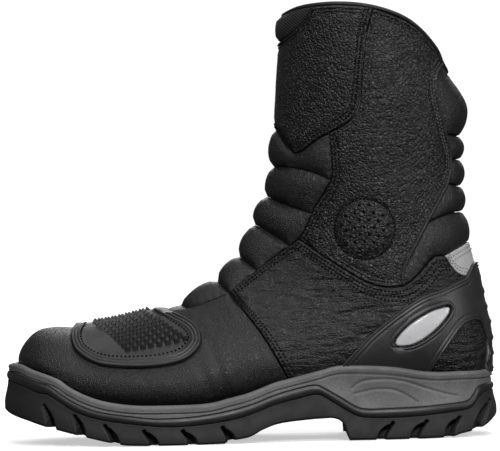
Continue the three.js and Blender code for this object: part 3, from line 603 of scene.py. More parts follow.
class Look:
    """A procedural material round one Principled shader, on the rest places kept with each mesh."""

    def __init__(self, name, color, roughness, **sockets):
        self.material = bpy.data.materials.new(name)
        self.material.use_nodes = True
        self.tree = self.material.node_tree
        self.tree.nodes.clear()
        self.shader = self.tree.nodes.new("ShaderNodeBsdfPrincipled")
        output = self.tree.nodes.new("ShaderNodeOutputMaterial")
        self.tree.links.new(self.shader.outputs["BSDF"], output.inputs["Surface"])
        self.shader.inputs["Base Color"].default_value = (*color, 1)
        self.shader.inputs["Roughness"].default_value = roughness
        for socket, value in sockets.items():
            self.shader.inputs[socket.replace("_", " ")].default_value = value
        self.color, self.roughness = color, roughness
        self.place = self.node("ShaderNodeAttribute", {}, "Vector", attribute_name="grain")

    def node(self, kind, inputs, output=0, **settings):
        made = self.tree.nodes.new(kind)
        for key, value in settings.items():
            setattr(made, key, value)
        for key, value in inputs.items():
            if isinstance(value, bpy.types.NodeSocket):
                self.tree.links.new(value, made.inputs[key])
            else:
                made.inputs[key].default_value = value
        return made.outputs[output]

    def math(self, operation, a, b=0.0, c=0.0):
        return self.node("ShaderNodeMath", {0: a, 1: b, 2: c}, operation=operation)

    def ramp(self, value, low, high, to_low=0.0, to_high=1.0):
        inputs = {"Value": value, "From Min": low, "From Max": high, "To Min": to_low, "To Max": to_high}
        return self.node("ShaderNodeMapRange", inputs, interpolation_type="SMOOTHSTEP")

    def clouds(self, size, detail=2.0, place=None):
        inputs = {"Vector": place or self.place, "Scale": 1 / (size * MM), "Detail": detail}
        return self.node("ShaderNodeTexNoise", inputs, "Fac")

    def warped(self, size, shift):
        """The rest places moved about, so that a regular pattern looks grown."""
        inputs = {"Vector": self.place, "Scale": 1 / (size * MM), "Detail": 2.0}
        color = self.node("ShaderNodeTexNoise", inputs, "Color")
        centred = self.node("ShaderNodeVectorMath", {0: color, 1: (0.5,) * 3}, operation="SUBTRACT")
        moved = self.node("ShaderNodeVectorMath", {0: centred, "Scale": shift * MM}, operation="SCALE")
        return self.node("ShaderNodeVectorMath", {0: self.place, 1: moved}, operation="ADD")

    def cells(self, size, place, edge=0.14):
        """1 on each pebble and 0 in the creases between them."""
        inputs = {"Vector": place, "Scale": 1 / (size * MM)}
        gap = self.node("ShaderNodeTexVoronoi", inputs, "Distance", feature="DISTANCE_TO_EDGE")
        return self.ramp(gap, 0.0, edge)

    def waves(self, size, axis, place=None, profile="SIN"):
        inputs = {"Vector": place or self.place, "Scale": 0.314 / (size * MM)}
        return self.node("ShaderNodeTexWave", inputs, "Fac", bands_direction=axis, wave_profile=profile)

    def paint(self, share, other):
        """Mixes the base colour towards another one."""
        base = self.shader.inputs["Base Color"]
        before = base.links[0].from_socket if base.links else (*self.color, 1)
        inputs = {0: share, 6: before, 7: (*other, 1)}
        mixed = self.node("ShaderNodeMix", inputs, 2, data_type="RGBA")
        self.tree.links.new(mixed, base)

    def rough(self, share, low, high):
        self.tree.links.new(self.ramp(share, 0.0, 1.0, low, high), self.shader.inputs["Roughness"])

    def bump(self, height, depth, strength=1.0):
        normal = self.shader.inputs["Normal"]
        inputs = {"Height": height, "Distance": depth * MM, "Strength": strength}
        if normal.links:
            inputs["Normal"] = normal.links[0].from_socket
        self.tree.links.new(self.node("ShaderNodeBump", inputs), normal)

    def worn(self, width, other, share=0.6):
        """Lighter along the piece's cut edges."""
        rim = self.node("ShaderNodeAttribute", {}, "Fac", attribute_name="rim")
        near = self.ramp(rim, 0.0, width, share, 0.0)
        patchy = self.ramp(self.clouds(4), 0.35, 0.65)
        self.paint(self.math("MULTIPLY", near, patchy), other)


def grey(value):
    return (value, value, value * 1.02)


def leather(name, shade, size, depth, roughness, wrinkle=0.0):
    look = Look(name, grey(shade), roughness, Specular_IOR_Level=0.5)
    place = look.warped(5, 1.2)
    pebble = look.cells(size, place, 0.26)
    fine = look.cells(size * 0.42, place, 0.3)
    dust = look.clouds(0.35, 3.0)
    if wrinkle:
        lean = {"Vector": look.place, "Rotation": (0, 0.45, 0), "Scale": (0.28, 0.3, 1.0)}
        drawn = look.node("ShaderNodeMapping", lean)
        look.bump(look.clouds(3.2, 3.0, drawn), wrinkle)
    look.bump(look.clouds(14, 1.0), 0.8, 0.35)
    look.bump(pebble, depth)
    look.bump(fine, depth * 0.12)
    look.bump(dust, depth * 0.12)
    look.paint(look.ramp(look.clouds(22), 0.35, 0.7), grey(shade * 1.7))
    # painted shade: the base colour darkens in the creases between the pebbles
    look.paint(look.ramp(pebble, 0.0, 0.8, 0.75, 0.0), grey(shade * 0.4))
    look.worn(1.6, grey(shade * 2.6))
    look.rough(look.math("MULTIPLY_ADD", pebble, -0.6, look.clouds(9)), roughness + 0.14, roughness - 0.06)
    return look.material


def thread(name, shade, gloss=0.5):
    look = Look(name, grey(shade), 0.6, Specular_IOR_Level=gloss)
    look.bump(look.waves(0.35, "DIAGONAL"), 0.08)
    look.paint(look.clouds(1.5), grey(shade * 1.8))
    look.rough(look.clouds(2), 0.5, 0.75)
    return look.material


def rubber(name, shade, roughness, grain, depth, worn=2.2):
    look = Look(name, grey(shade), roughness)
    look.bump(look.clouds(grain, 3.0), depth)
    look.bump(look.clouds(6, 2.0), depth * 1.5, 0.5)
    look.paint(look.ramp(look.clouds(18, 3.0), 0.35, 0.7), grey(shade * 1.35))
    look.paint(look.ramp(look.clouds(1.1, 2.0), 0.4, 0.62, 0.35, 0.0), grey(shade * 0.6))
    look.worn(1.0, grey(shade * worn), 0.5)
    look.rough(look.clouds(7, 3.0), roughness - 0.1, roughness + 0.1)
    return look.material


def knit(name, shade, size, roughness=0.9):
    look = Look(name, grey(shade), roughness, Sheen_Weight=0.3, Sheen_Roughness=0.5)
    rows = look.waves(size, "Z")
    across = look.waves(size * 1.3, "X")
    mesh = look.math("MULTIPLY", rows, across)
    look.bump(mesh, size * 0.35)
    look.bump(look.clouds(0.3, 2.0), 0.08)
    # painted shade: the colour darkens in the knit's hollows, where the mesh pattern is lowest
    look.paint(look.ramp(mesh, 0.0, 0.5, 0.7, 0.0), grey(shade * 0.35))
    look.paint(look.ramp(look.clouds(15), 0.4, 0.7, 0.0, 0.5), grey(shade * 1.4))
    look.rough(mesh, roughness - 0.1, roughness)
    return look.material


def ribbed(name, shade, pitch):
    look = Look(name, grey(shade), 0.85)
    flat = look.node("ShaderNodeVectorMath", {0: look.place, 1: (1, 0, 1)}, operation="MULTIPLY")
    ribs = look.waves(pitch, "DIAGONAL", flat)
    look.bump(ribs, pitch * 0.5)
    look.bump(look.waves(pitch * 0.35, "Z"), 0.06)
    # painted shade: the colour darkens in the grooves between the ribs
    look.paint(look.ramp(ribs, 0.0, 0.6, 0.85, 0.0), grey(shade * 0.15))
    look.rough(look.clouds(2), 0.75, 0.95)
    return look.material


def reflective(name, shade, cell, roughness, coat):
    look = Look(name, grey(shade), roughness, Coat_Weight=coat, Coat_Roughness=0.12)
    prisms = look.cells(cell, look.place, 0.12)
    look.bump(prisms, 0.12)
    # painted shade: the colour darkens in the creases between the prism cells
    look.paint(look.ramp(prisms, 0.0, 1.0, 0.35, 0.0), grey(shade * 0.6))
    look.paint(look.ramp(look.clouds(8, 3.0), 0.4, 0.7, 0.0, 0.5), grey(shade * 1.15))
    look.rough(look.clouds(3, 2.0), roughness - 0.08, roughness + 0.12)
    return look.material


def metal(name, shade, roughness):
    look = Look(name, grey(shade), roughness, Metallic=1.0)
    look.bump(look.clouds(1.2, 4.0), 0.03)
    look.paint(look.ramp(look.clouds(5, 3.0), 0.45, 0.6), grey(shade * 1.6))
    look.worn(0.5, grey(shade * 3.0), 0.7)
    look.rough(look.clouds(3, 3.0), roughness - 0.08, roughness + 0.15)
    return look.material


def pile(name, shade, size):
    look = Look(name, grey(shade), 0.95, Sheen_Weight=0.5)
    tufts = look.cells(size, look.warped(1, 0.8), 0.4)
    look.bump(tufts, size * 0.6)
    # painted shade: the colour darkens in the gaps between the tufts
    look.paint(look.ramp(tufts, 0.0, 0.9, 0.6, 0.0), grey(shade * 0.3))
    look.rough(look.clouds(1), 0.85, 1.0)
    return look.material


PEBBLED = leather("pebbled_leather", 0.004, 2.1, 0.42, 0.31, wrinkle=0.9)
CREASED = leather("quarter_leather", 0.003, 1.5, 0.22, 0.34, wrinkle=2.4)
SMOOTH = leather("smooth_leather", 0.004, 1.1, 0.16, 0.33)
SOFT = leather("pad_leather", 0.0045, 1.3, 0.18, 0.38)
THREAD = thread("sewing_thread", 0.0012, 0.12)
PALE_THREAD = thread("back_seam_thread", 0.04)
GREY_THREAD = thread("strip_thread", 0.16)
TREAD_RUBBER = rubber("outsole_rubber", 0.009, 0.72, 0.55, 0.14)
BEAD_RUBBER = rubber("outsole_bead_rubber", 0.012, 0.42, 0.5, 0.03)
FOAM_RUBBER = rubber("midsole_rubber", 0.105, 0.62, 0.45, 0.06, worn=1.3)
SHIFT_RUBBER = rubber("shift_pad_rubber", 0.008, 0.48, 0.4, 0.05)
MOULDED = rubber("moulded_heel_cup", 0.017, 0.42, 0.5, 0.04, worn=1.8)
BINDING = leather("binding_leather", 0.007, 0.9, 0.10, 0.42)
TEXTILE = ribbed("ribbed_textile", 0.012, 0.95)
LINING = knit("lining_knit", 0.03, 1.1)
FOOTBED = knit("footbed_fabric", 0.045, 0.9)
TAPE = knit("zip_tape_weave", 0.014, 0.45)
STRIP = reflective("reflective_fabric", 0.5, 0.5, 0.42, 0.1)
LENS = reflective("reflector_lens", 0.62, 0.9, 0.3, 0.6)
ZINC = metal("dark_zinc", 0.09, 0.32)
STEEL = metal("spring_steel", 0.4, 0.3)
HOOKS = pile("hook_and_loop", 0.015, 0.6)

# ---------- patterns in the side view ----------

SEAT_LINE = [(-170, 50), (-145, 46.5), (-122, 38.5), (-103.5, 27.5), (-85, 22), (-56.5, 19),
             (-36, 20), (-17, 22.5), (0, 27.5), (15, 32.5), (25, 35.2), (38, 38), (60, 38),
             (85, 36), (170, 36)]
QUARTER_FOOT = 10  # the seat line's point where the vamp meets the quarters
PANEL_TOP = [(5, 257), (22.5, 260), (33, 262.6), (43, 263.7), (56, 264), (63.4, 263.6),
             (72.6, 262.6), (79.5, 261.3), (101.5, 252.8), (116, 239.5), (122.3, 228), (137, 208)]
AT_GUSSET, AT_SHIN_INNER, AT_ZIP_FRONT, AT_ZIP_REAR, AT_SHIN_OUTER, AT_BACK_SEAM = 3, 4, 5, 6, 7, 10
COLLAR = [(5, 261), (22.5, 264), (36.5, 267.5), (60.5, 268), (84, 264.5), (104, 256.5),
          (119.5, 242), (126, 230), (140, 212)]
SHIN_TIP = [(0, 223), (19, 191.5), (25, 181), (30, 176), (35, 176.5), (43, 182.5), (51.5, 187)]
SHIN_OUTER = [(51.5, 187), (58, 190), (65, 194.5), (69, 200), (70.5, 206), (72.5, 225),
              (75, 245), (79.5, 261.3)]
SHIN_INNER = [(51.5, 187), (52.5, 195), (54, 220), (55.5, 245), (56, 264)]
GUSSET = [(0, 236), (23.5, 244.5), (33.5, 251), (40, 258), (43, 263.7)]
FRONT_SEAM = [(31.5, 122.5), (35.1, 127.1), (40.2, 138), (43, 143.5), (52, 158), (53, 171),
              (51.5, 187)]
BACK_SEAM = [(122.3, 228), (118, 221), (117.5, 210), (120.3, 197), (123, 185), (126, 170),
             (123.5, 155), (110, 131), (99, 111), (94.5, 101), (95, 93)]
QUARTER_TOP = [(31.5, 122.5), (54, 107), (68, 98), (74, 95), (83, 92.5), (95, 93), (104.5, 100),
               (112, 108.5), (116, 110.5), (121, 110.5)]
TOP_AT_ZIP, TOP_AT_BACK_SEAM = 2, 5
INSTEP_SEAM = [(-11.5, 90.5), (6, 104), (26, 118.5), (31.5, 122.5)]
VAMP_SEAM = [(-60, 90), (-42, 84), (-35.5, 82.5), (-25.5, 85), (-11.5, 90.5)]
QUARTER_SEAM = [(-11.5, 90.5), (5.5, 69), (15.5, 53), (25, 35.2)]
INSTEP_VALLEYS = [
    [(-36, 114), (-19.5, 98.5), (-11.5, 90.5)],
    [(-22, 125), (-5.5, 113), (6, 104)],
    [(-16, 139), (4, 132.5), (13, 127.5), (26, 118.5)],
    [(-10, 155), (12.5, 149.5), (19, 146), (40.2, 138)],
    [(-5, 169), (17, 167.5), (31.5, 166), (43, 162.5), (52, 158)],
]
CALF_VALLEYS = [
    [(123, 185), (135.5, 183.5), (160, 179)],
    [(126, 170), (134, 169.5), (160, 168)],
    [(123.5, 155), (134.5, 153), (160, 153)],
    [(110, 131), (123.5, 136), (134.5, 137.5), (160, 139)],
]
STRIP_TOP = [(121, 110.5), (139.5, 120), (165, 133)]
STRIP_BOTTOM = [(121, 110.5), (132.5, 98), (165, 97)]
SHIFT_PAD_HALF = [(-104, 74), (-108.5, 69), (-109.5, 64), (-104.5, 55), (-89, 47.5), (-61, 46),
                  (-40, 49.5), (-30, 57.5), (-28.5, 65), (-33, 72), (-44, 77.5), (-56, 82)]
CUP_PEAK = [(160, 106), (144, 105.8), (138.5, 105.5), (135, 100.5), (132.5, 96.3)]
CUP_EDGE = [(132.5, 96.3), (118, 90), (105, 85.5), (90, 76), (75, 64.5), (65, 55), (50, 40)]
CUP_WINDOW = [(108.5, 36.5), (111.5, 43), (119.5, 54.5), (128.5, 66.5), (134.5, 70), (140.5, 69.5),
              (143.4, 64), (144.8, 55), (143.6, 44), (142.6, 36.5)]
REFLECTOR = [(88, 59.5), (91, 64), (99.5, 71.5), (109, 77), (116.5, 79.5), (121.5, 80), (123, 77),
             (121, 72.5), (114.5, 65.5), (107, 60), (99, 56.5), (91.5, 56), (88.5, 57)]
ANKLE_PATCH = {"centre": (72, 128), "radius": 18.5}
ZIP = {"x": 68, "foot": 112, "head": 218, "slit": 4.6, "tape": 9.5}


def seat(x):
    line = np.array(SEAT_LINE)
    return np.interp(x, line[:, 0], line[:, 1])


def side(points, first=0, last=None):
    return trace(curve(points, first, last))


def reverse(pairs):
    return pairs[::-1]


# ---------- leather panels ----------


def undulation(spot, depth=0.35, size=22.0, seed=0.0):
    return depth * wobble(spot.p, size, seed) + 0.4 * depth * wobble(spot.p, size * 0.4, seed + 7)


def pucker(spot, depth=0.3, pitch=4.2, reach=4.0):
    """Gathers across a sewn edge, fading away from it."""
    phase = 2 * np.pi * spot.t / pitch + 2.5 * wobble(spot.p, 9.0, 3.0)
    return depth * np.sin(phase) * np.exp(-spot.d / reach) * smoothstep(spot.d / 0.8)


def sewn(spot, insets, depth=0.6):
    """The leather pulled down along its rows of stitches."""
    return sum(-depth * np.exp(-(((spot.d - inset) / 0.55) ** 2)) for inset in insets)


def by_zip(spot):
    """0 beside the zip, where the leather lies flat, and 1 away from it."""
    near = smoothstep((14 - np.abs(spot.p[:, 0] - ZIP["x"])) / 5) * (spot.p[:, 1] > 0)
    return 1 - near * smoothstep((spot.p[:, 2] - 70) / 12)


def rows(made, pairs, insets, look=1, size=1.0):
    for inset in insets:
        for sign in (1, -1):
            stitch(made, beside(made.skin, pairs, sign * inset), look, size=size)


def make_vamp():
    half = [side(VAMP_SEAM), side(QUARTER_SEAM), reverse(side(SEAT_LINE, 0, QUARTER_FOOT))]
    loop = outline(ROUND, *wrapped(half))

    def relief(spot):
        x, z = spot.p[:, 0], spot.p[:, 2]
        lean = np.stack([x * 1.0 + z * 0.35, spot.p[:, 1] * 0.2, z * 0.12], -1)
        crease = np.exp(-(((x + 18) / 24) ** 2)) * smoothstep((spot.d - 2) / 8)
        folds = 0.55 * crease * wobble(lean, 5.5, 4.0)
        toe = 0.5 * smoothstep((-95 - x) / 20)
        return undulation(spot, 0.3) * (1 - 0.6 * toe) + folds + 0.5 * pucker(spot) + sewn(spot, (2.2,), 0.15)

    made = sheet(ROUND, [loop], level=0.3, relief=relief, step=2.0)
    piece("vamp_leather", made, [SMOOTH, THREAD], "foot", ["vamp"])


def make_quarters():
    top = [side(INSTEP_SEAM), side(QUARTER_TOP), side(STRIP_BOTTOM)]
    heel, foot = top[-1][-1], side(SEAT_LINE, QUARTER_FOOT)[-1]
    lines = [reverse(side(QUARTER_SEAM)), *top, straight(heel, foot), reverse(side(SEAT_LINE, QUARTER_FOOT))]
    loop = outline(SIDE, *lines)

    def relief(spot):
        x, z = spot.p[:, 0], spot.p[:, 2]
        flow = np.stack([x * 0.25 + z * 0.3, spot.p[:, 1] * 0.2, z * 1.0 - x * 0.35], -1)
        soft = smoothstep((spot.d - 3) / 9)
        creases = 1.7 * soft * wobble(flow, 5.5, 1.0) * np.exp(-(((x - 68) / 36) ** 2))
        rows_near = sewn(spot, (2.2, 4.4, 6.6), 0.25) * smoothstep((z - 60) / 20)
        folds = undulation(spot, 0.5) + creases + 0.6 * pucker(spot)
        free = by_zip(spot)
        return folds * free + rows_near - 0.6 * (1 - free)

    for name, place in (("outer", lambda pairs: pairs), ("inner", mirrored)):
        made = sheet(SIDE, [place(loop)], level=0.9, relief=relief)
        rows(made, place(side(QUARTER_TOP)), (2.2, 4.4, 6.6))
        rows(made, place(side(INSTEP_SEAM)), (2.2, 4.4))
        rows(made, place(side(QUARTER_SEAM)), (2.2, 4.4))
        looks = [CREASED, THREAD]
        piece(f"quarter_{name}_leather", made, looks, "upper", [f"quarter_{name}"])


def make_strip():
    half = [reverse(side(STRIP_BOTTOM)), side(STRIP_TOP)]
    loop = outline(SIDE, *wrapped(half))
    made = sheet(SIDE, [loop], level=0.5, rim=0.5, relief=lambda spot: sewn(spot, (2.2,), 0.2))
    for line in (side(STRIP_TOP), side(STRIP_BOTTOM)):
        both = np.vstack([line, (line * [1, -1] + [0, 2])[::-1]])
        rows(made, both, (1.8, 3.6), size=0.85)
    piece("rear_strip", made, [STRIP, GREY_THREAD], "upper", ["rear_reflective_strip"])


def perforations():
    """Places of the ankle patch's holes, in bowed rows about its middle."""
    cx, cz = ANKLE_PATCH["centre"]
    found = []
    for row in range(-3, 4):
        for step in range(-3, 4):
            x = (step + (row % 2) / 2) * 5.6
            z = row * 4.5 - 0.018 * x * x + 1.2
            if math.hypot(x, z) < ANKLE_PATCH["radius"] - 3.4:
                found.append((cx + x, cz + z))
    return np.array(found)


def plug_holes_with_painted_shade(made, pairs, radius=0.78):
    """A near-black plug inside each punched hole, its face a little under the leather's: painted shade for
    the dark inside of the hole.
    """
    spokes = 12
    wheel = circle(radius, radius, spokes)
    faces = [(k, (k + 1) % spokes, spokes + (k + 1) % spokes, spokes + k) for k in range(spokes)]
    faces += [tuple(range(spokes - 1, -1, -1)), tuple(range(spokes, 2 * spokes))]
    tree = BVHTree.FromPolygons(made.top.tolist(), made.spot.faces.tolist())
    for p, n in zip(*made.skin.points(pairs)):
        hit = tree.ray_cast(Vector(p + 9 * n), Vector(-n), 16)
        across = np.cross(n, [0, 0, 1])
        across /= np.linalg.norm(across)
        up = np.cross(across, n)
        points = [np.array(hit[0]) + out * n + a * across + b * up for out in (-0.3, 1.0) for a, b in wheel]
        made.add(points, faces, 1)


def make_shaft_outer():
    lines = [
        side(PANEL_TOP, AT_SHIN_OUTER, AT_BACK_SEAM), side(BACK_SEAM),
        reverse(side(QUARTER_TOP, 0, TOP_AT_BACK_SEAM)), side(FRONT_SEAM), side(SHIN_OUTER),
    ]
    loop = outline(SIDE, *lines)
    centre, radius = np.array(ANKLE_PATCH["centre"]), ANKLE_PATCH["radius"]
    holes = perforations()
    turn = np.linspace(0, 2 * np.pi, 12, endpoint=False)
    wheel = np.stack([np.cos(turn), np.sin(turn)], -1)
    near_holes = [holes + r * spoke for r in (0.5, 0.72, 0.95, 1.4) for spoke in wheel]
    turn = np.linspace(0, 2 * np.pi, 90, endpoint=False)
    wheel = np.stack([np.cos(turn), np.sin(turn)], -1)
    rims = [centre + r * wheel for r in np.arange(radius - 3, radius + 3.1, 0.6)]
    extra = np.vstack([*near_holes, holes, *rims])
    s, t = locate(extra)
    extra = np.stack([s, turn_of(t)], -1)

    def relief(spot):
        flat = spot.p[:, [0, 2]]
        r = np.linalg.norm(flat - centre, axis=1)
        dome = 1.7 * smoothstep((radius - 0.5 - r) / 5) + 1.3 * smoothstep((radius - r) / radius)
        groove = -0.55 * np.exp(-(((r - radius) / 0.9) ** 2))
        gap = np.linalg.norm(flat[:, None] - holes, axis=2).min(1)
        pits = -1.6 * smoothstep((0.95 - gap) / 0.35)
        x, z = flat.T
        soft = smoothstep((spot.d - 3) / 10)
        flow = np.stack([x * 0.9 + z * 0.25, spot.p[:, 1] * 0.3, z * 0.35 - x * 0.2], -1)
        folds = 0.7 * soft * wobble(flow, 8.0, 2.0) * np.exp(-(((z - 108) / 26) ** 2))
        away = smoothstep((r - radius) / 6)
        patch = dome + groove + pits
        around = away * (undulation(spot, 0.5) + folds)
        return patch + around + sewn(spot, (2.2, 4.4)) + 0.5 * pucker(spot)

    made = sheet(SIDE, [loop], level=0.5, relief=relief, extra=extra)
    s, t = locate(holes)
    # near-black plugs in the holes: painted shade
    plug_holes_with_painted_shade(made, np.stack([s, turn_of(t)], -1))
    wheel = np.vstack([wheel, wheel[:1]])
    s, t = locate(centre + (radius - 0.3) * wheel)
    stitch(made, np.stack([s, turn_of(t)], -1), size=0.85)
    rows(made, side(FRONT_SEAM), (2.2, 4.4))
    rows(made, side(BACK_SEAM), (2.2, 4.6), look=2)
    rows(made, side(PANEL_TOP, AT_SHIN_OUTER, AT_BACK_SEAM), (2.4,))
    stitch(made, trace(np.vstack([centre + radius * wheel, centre + radius * wheel[:1]])), pitch=2.5)
    piping(made, side(BACK_SEAM))
    looks = [PEBBLED, THREAD, PALE_THREAD, SMOOTH]
    piece("shaft_outer_leather", made, looks, "upper", ["shaft_panel_outer"])


def piping(made, pairs):
    """A thin cord of leather let into the back seam."""
    line = spaced(SIDE, pairs, 1.5)
    place, normal = SIDE.points(line)
    sweep(made, place + 0.2 * normal, normal, circle(1.2, 1.1), look=3)


def make_shaft_inner():
    x, slit, foot = ZIP["x"], ZIP["slit"], ZIP["foot"]
    corner, seam_top = QUARTER_TOP[TOP_AT_ZIP], (x, foot - 3.5)
    ahead = [corner, seam_top, (x - slit, foot - 1), (x - slit, 150), (x - slit, 200)]
    behind = [corner, seam_top, (x + slit, foot - 1), (x + slit, 150), (x + slit, 200)]

    def zip_edge(points, end):
        line = np.array([*points, PANEL_TOP[end]], float)
        steps = [straight(a, b, 60) for a, b in zip(line[:-1], line[1:])]
        return [trace(step) for step in steps]

    front = [
        reverse(side(FRONT_SEAM)), side(QUARTER_TOP, 0, TOP_AT_ZIP),
        *zip_edge(ahead, AT_ZIP_FRONT), reverse(side(PANEL_TOP, AT_SHIN_INNER, AT_ZIP_FRONT)),
        reverse(side(SHIN_INNER)),
    ]
    rear = [
        side(PANEL_TOP, AT_ZIP_REAR, AT_BACK_SEAM), side(BACK_SEAM),
        reverse(side(QUARTER_TOP, TOP_AT_ZIP, TOP_AT_BACK_SEAM)), *zip_edge(behind, AT_ZIP_REAR),
    ]

    def relief(spot):
        return (undulation(spot, 0.45, seed=5.0) + 0.4 * pucker(spot)) * by_zip(spot) + sewn(spot, (2.2,))

    for name, lines in (("front", front), ("rear", rear)):
        made = sheet(SIDE, [mirrored(outline(SIDE, *lines))], level=0.5, relief=relief)
        zip_lines = lines[4:5] if name == "front" else lines[-2:-1]
        rows(made, mirrored(np.vstack(zip_lines)), (2.2, 4.4))
        if name == "front":
            rows(made, mirrored(side(FRONT_SEAM)), (2.2, 4.4))
        else:
            rows(made, mirrored(side(BACK_SEAM)), (2.2, 4.6), look=2)
            piping(made, mirrored(side(BACK_SEAM)))
        looks = [PEBBLED, THREAD, PALE_THREAD, SMOOTH]
        node = f"shaft_panel_inner_{name}"
        piece(f"shaft_inner_{name}_leather", made, looks, "upper", [node])


def make_shin():
    gusset = reverse(side(GUSSET))
    outer = [side(SHIN_TIP), side(SHIN_OUTER), reverse(side(PANEL_TOP, AT_GUSSET, AT_SHIN_OUTER)), gusset]
    inner = [side(SHIN_TIP), side(SHIN_INNER), reverse(side(PANEL_TOP, AT_GUSSET, AT_SHIN_INNER)), gusset]
    loop = outline(SIDE, *wrapped(outer, inner))

    def relief(spot):
        return undulation(spot, 0.5, 26, 9.0) + sewn(spot, (2.2, 4.4)) + 0.5 * pucker(spot)

    made = sheet(SIDE, [loop], level=1.3, wall=2.4, relief=relief)
    for line in (side(SHIN_TIP), side(SHIN_OUTER), mirrored(side(SHIN_TIP)), mirrored(side(SHIN_INNER))):
        rows(made, line, (2.2, 4.4))
    rows(made, side(GUSSET), (2.2,))
    rows(made, mirrored(side(GUSSET)), (2.2,))
    piece("shin_leather", made, [PEBBLED, THREAD], "shaft", ["shin_panel"])


def make_gusset():
    half = [side(GUSSET), reverse(side(PANEL_TOP, 0, AT_GUSSET))]
    loop = outline(SIDE, *wrapped(half), step=1.0)

    def relief(spot):
        return 3.0 * np.sqrt(swell(spot.p, spot.faces, spot.rim))

    made = sheet(SIDE, [loop], level=0.2, relief=relief, step=1.4, rings=(0.4, 0.9, 1.6), rim=0.5)
    piece("collar_gusset_textile", made, [TEXTILE], "shaft", ["collar_gusset"])


def make_pad(name, half, node, seed):
    loop = outline(SIDE, *wrapped(half), step=1.4)

    def relief(spot):
        puff = 1.15 * PAD_RISE * swell(spot.p, spot.faces, spot.rim) ** 0.8
        if node == "calf_pad_1":
            puff *= 0.25 + 1.7 * smoothstep((236 - spot.p[:, 2]) / 40)
        along = spot.p * [0.35, 1, 1]
        folds = 0.15 * wobble(along, 7.0, seed) * smoothstep(spot.d / 4)
        return puff + folds + pucker(spot, 0.4, 5.0, 2.6) + undulation(spot, 0.12, 16, seed)

    made = sheet(SIDE, [loop], level=-0.4, relief=relief, rim=0.7, step=1.35, rings=(0.3, 0.7, 1.2, 1.8, 2.5))
    pad = piece(name, made, [SOFT], "upper", [node])


def make_pads():
    lines = [side(VAMP_SEAM), *map(side, INSTEP_VALLEYS), side(SHIN_TIP)]
    seams = [[], [side(INSTEP_SEAM, 0, 1)], [side(INSTEP_SEAM, 1, 2)],
             [side(INSTEP_SEAM, 2, 3), side(FRONT_SEAM, 0, 2)], [side(FRONT_SEAM, 2, 4)],
             [side(FRONT_SEAM, 4, 6)]]
    for i, seam in enumerate(seams):
        half = [lines[i], *seam, reverse(lines[i + 1])]
        make_pad(f"instep_cushion_{i + 1}", half, f"instep_pad_{i + 1}", 11.0 + i)
    valleys = list(map(side, CALF_VALLEYS))
    top = side(PANEL_TOP, AT_BACK_SEAM)
    halves = [[reverse(top), side(BACK_SEAM, 0, 4), valleys[0]]]
    for i in range(3):
        halves.append([reverse(valleys[i]), side(BACK_SEAM, 4 + i, 5 + i), valleys[i + 1]])
    low = [side(BACK_SEAM, 7, 10), side(QUARTER_TOP, TOP_AT_BACK_SEAM), side(STRIP_TOP)]
    halves.append([reverse(valleys[3]), *low])
    for i, half in enumerate(halves):
        make_pad(f"calf_cushion_{i + 1}", half, f"calf_pad_{i + 1}", 31.0 + i)


make_vamp()
make_quarters()
make_strip()
make_shaft_outer()
make_shaft_inner()
make_shin()
make_gusset()
make_pads()

# ---------- moulded pieces on the upper ----------


def make_shift_pad():
    half = side(SHIFT_PAD_HALF)
    loop = outline(ROUND, half, reverse(mirrored(half)))
    pitch = 2.1
    beads = 3
    seam_in = beads * pitch + 1.6  # how far inside the edge the sewn row lies

    def relief(spot):
        phase = (spot.d % pitch) / pitch * 2 - 1
        bead_height = 0.75 * np.sqrt(np.clip(1 - phase**2, 0, 1))
        field = spot.d > beads * pitch
        seam_dip = -0.3 * np.exp(-(((spot.d - seam_in) / 0.6) ** 2))
        return np.where(field, 0.35 + seam_dip, bead_height)

    rings = tuple(pitch / 6 * k for k in range(1, 6 * beads + 5))
    made = sheet(ROUND, [loop], level=SHIFT_WALL - 0.4, wall=2.6, rim=0.8, rings=rings,
                 relief=relief, step=1.7)
    inner = beside(ROUND, half, -seam_in)
    inner = inner[inner[:, 1] > 0.01]
    stitch(made, inner, pitch=2.6)
    stitch(made, mirrored(inner), pitch=2.6)
    add_spikes(made)
    piece("shift_pad_rubber", made, [SHIFT_RUBBER, THREAD], "foot", ["shift_pad"])


def add_spikes(made):
    """Slanted rows of small pointed pyramids over the top of the shift pad."""
    tree = BVHTree.FromPolygons(made.top.tolist(), made.spot.faces.tolist())
    rim_tree = kd(made.top[made.spot.rim].tolist())
    pitch, lean = 3.75, 1.9
    dense = np.linspace(0, 0.5, 200)
    for row in range(14):
        for step in range(-11, 12):
            x = -96.5 + 4.4 * row + lean * abs(step)
            z = np.interp(x, SECTIONS[:, 0], SECTIONS[:, 1])
            s, _ = locate([(x, z - 2)])
            walk = np.linalg.norm(np.diff(surface(s[0], dense), axis=0), axis=1).cumsum()
            v = np.interp(abs(step) * pitch, walk, dense[1:]) * np.sign(step)
            place, normal = ROUND.points(np.array([[s[0], v]]))
            p, n = place[0], normal[0]
            if not -96 < p[0] < -33 or p[2] < 54:
                continue
            hit = tree.ray_cast(Vector(p + 9 * n), Vector(-n), 14)
            if hit[0] is None or rim_tree.find(hit[0])[2] < 9.5:
                continue
            along = np.cross(n, [0, 1, 0])
            along /= np.linalg.norm(along)
            across = np.cross(n, along)
            corners = []
            for out, half in ((-0.6, 1.95), (0.05, 1.85), (2.4, 0.2)):
                for a, b in ((-1, -1), (1, -1), (1, 1), (-1, 1)):
                    corners.append(np.array(hit[0]) + n * out + half * (a * along + b * across))
            faces = [(4 * i + k, 4 * i + (k + 1) % 4, 4 * i + 4 + (k + 1) % 4, 4 * i + 4 + k)
                     for i in range(2) for k in range(4)]
            made.add(corners, [*faces, (3, 2, 1, 0), (8, 9, 10, 11)], flat=True)


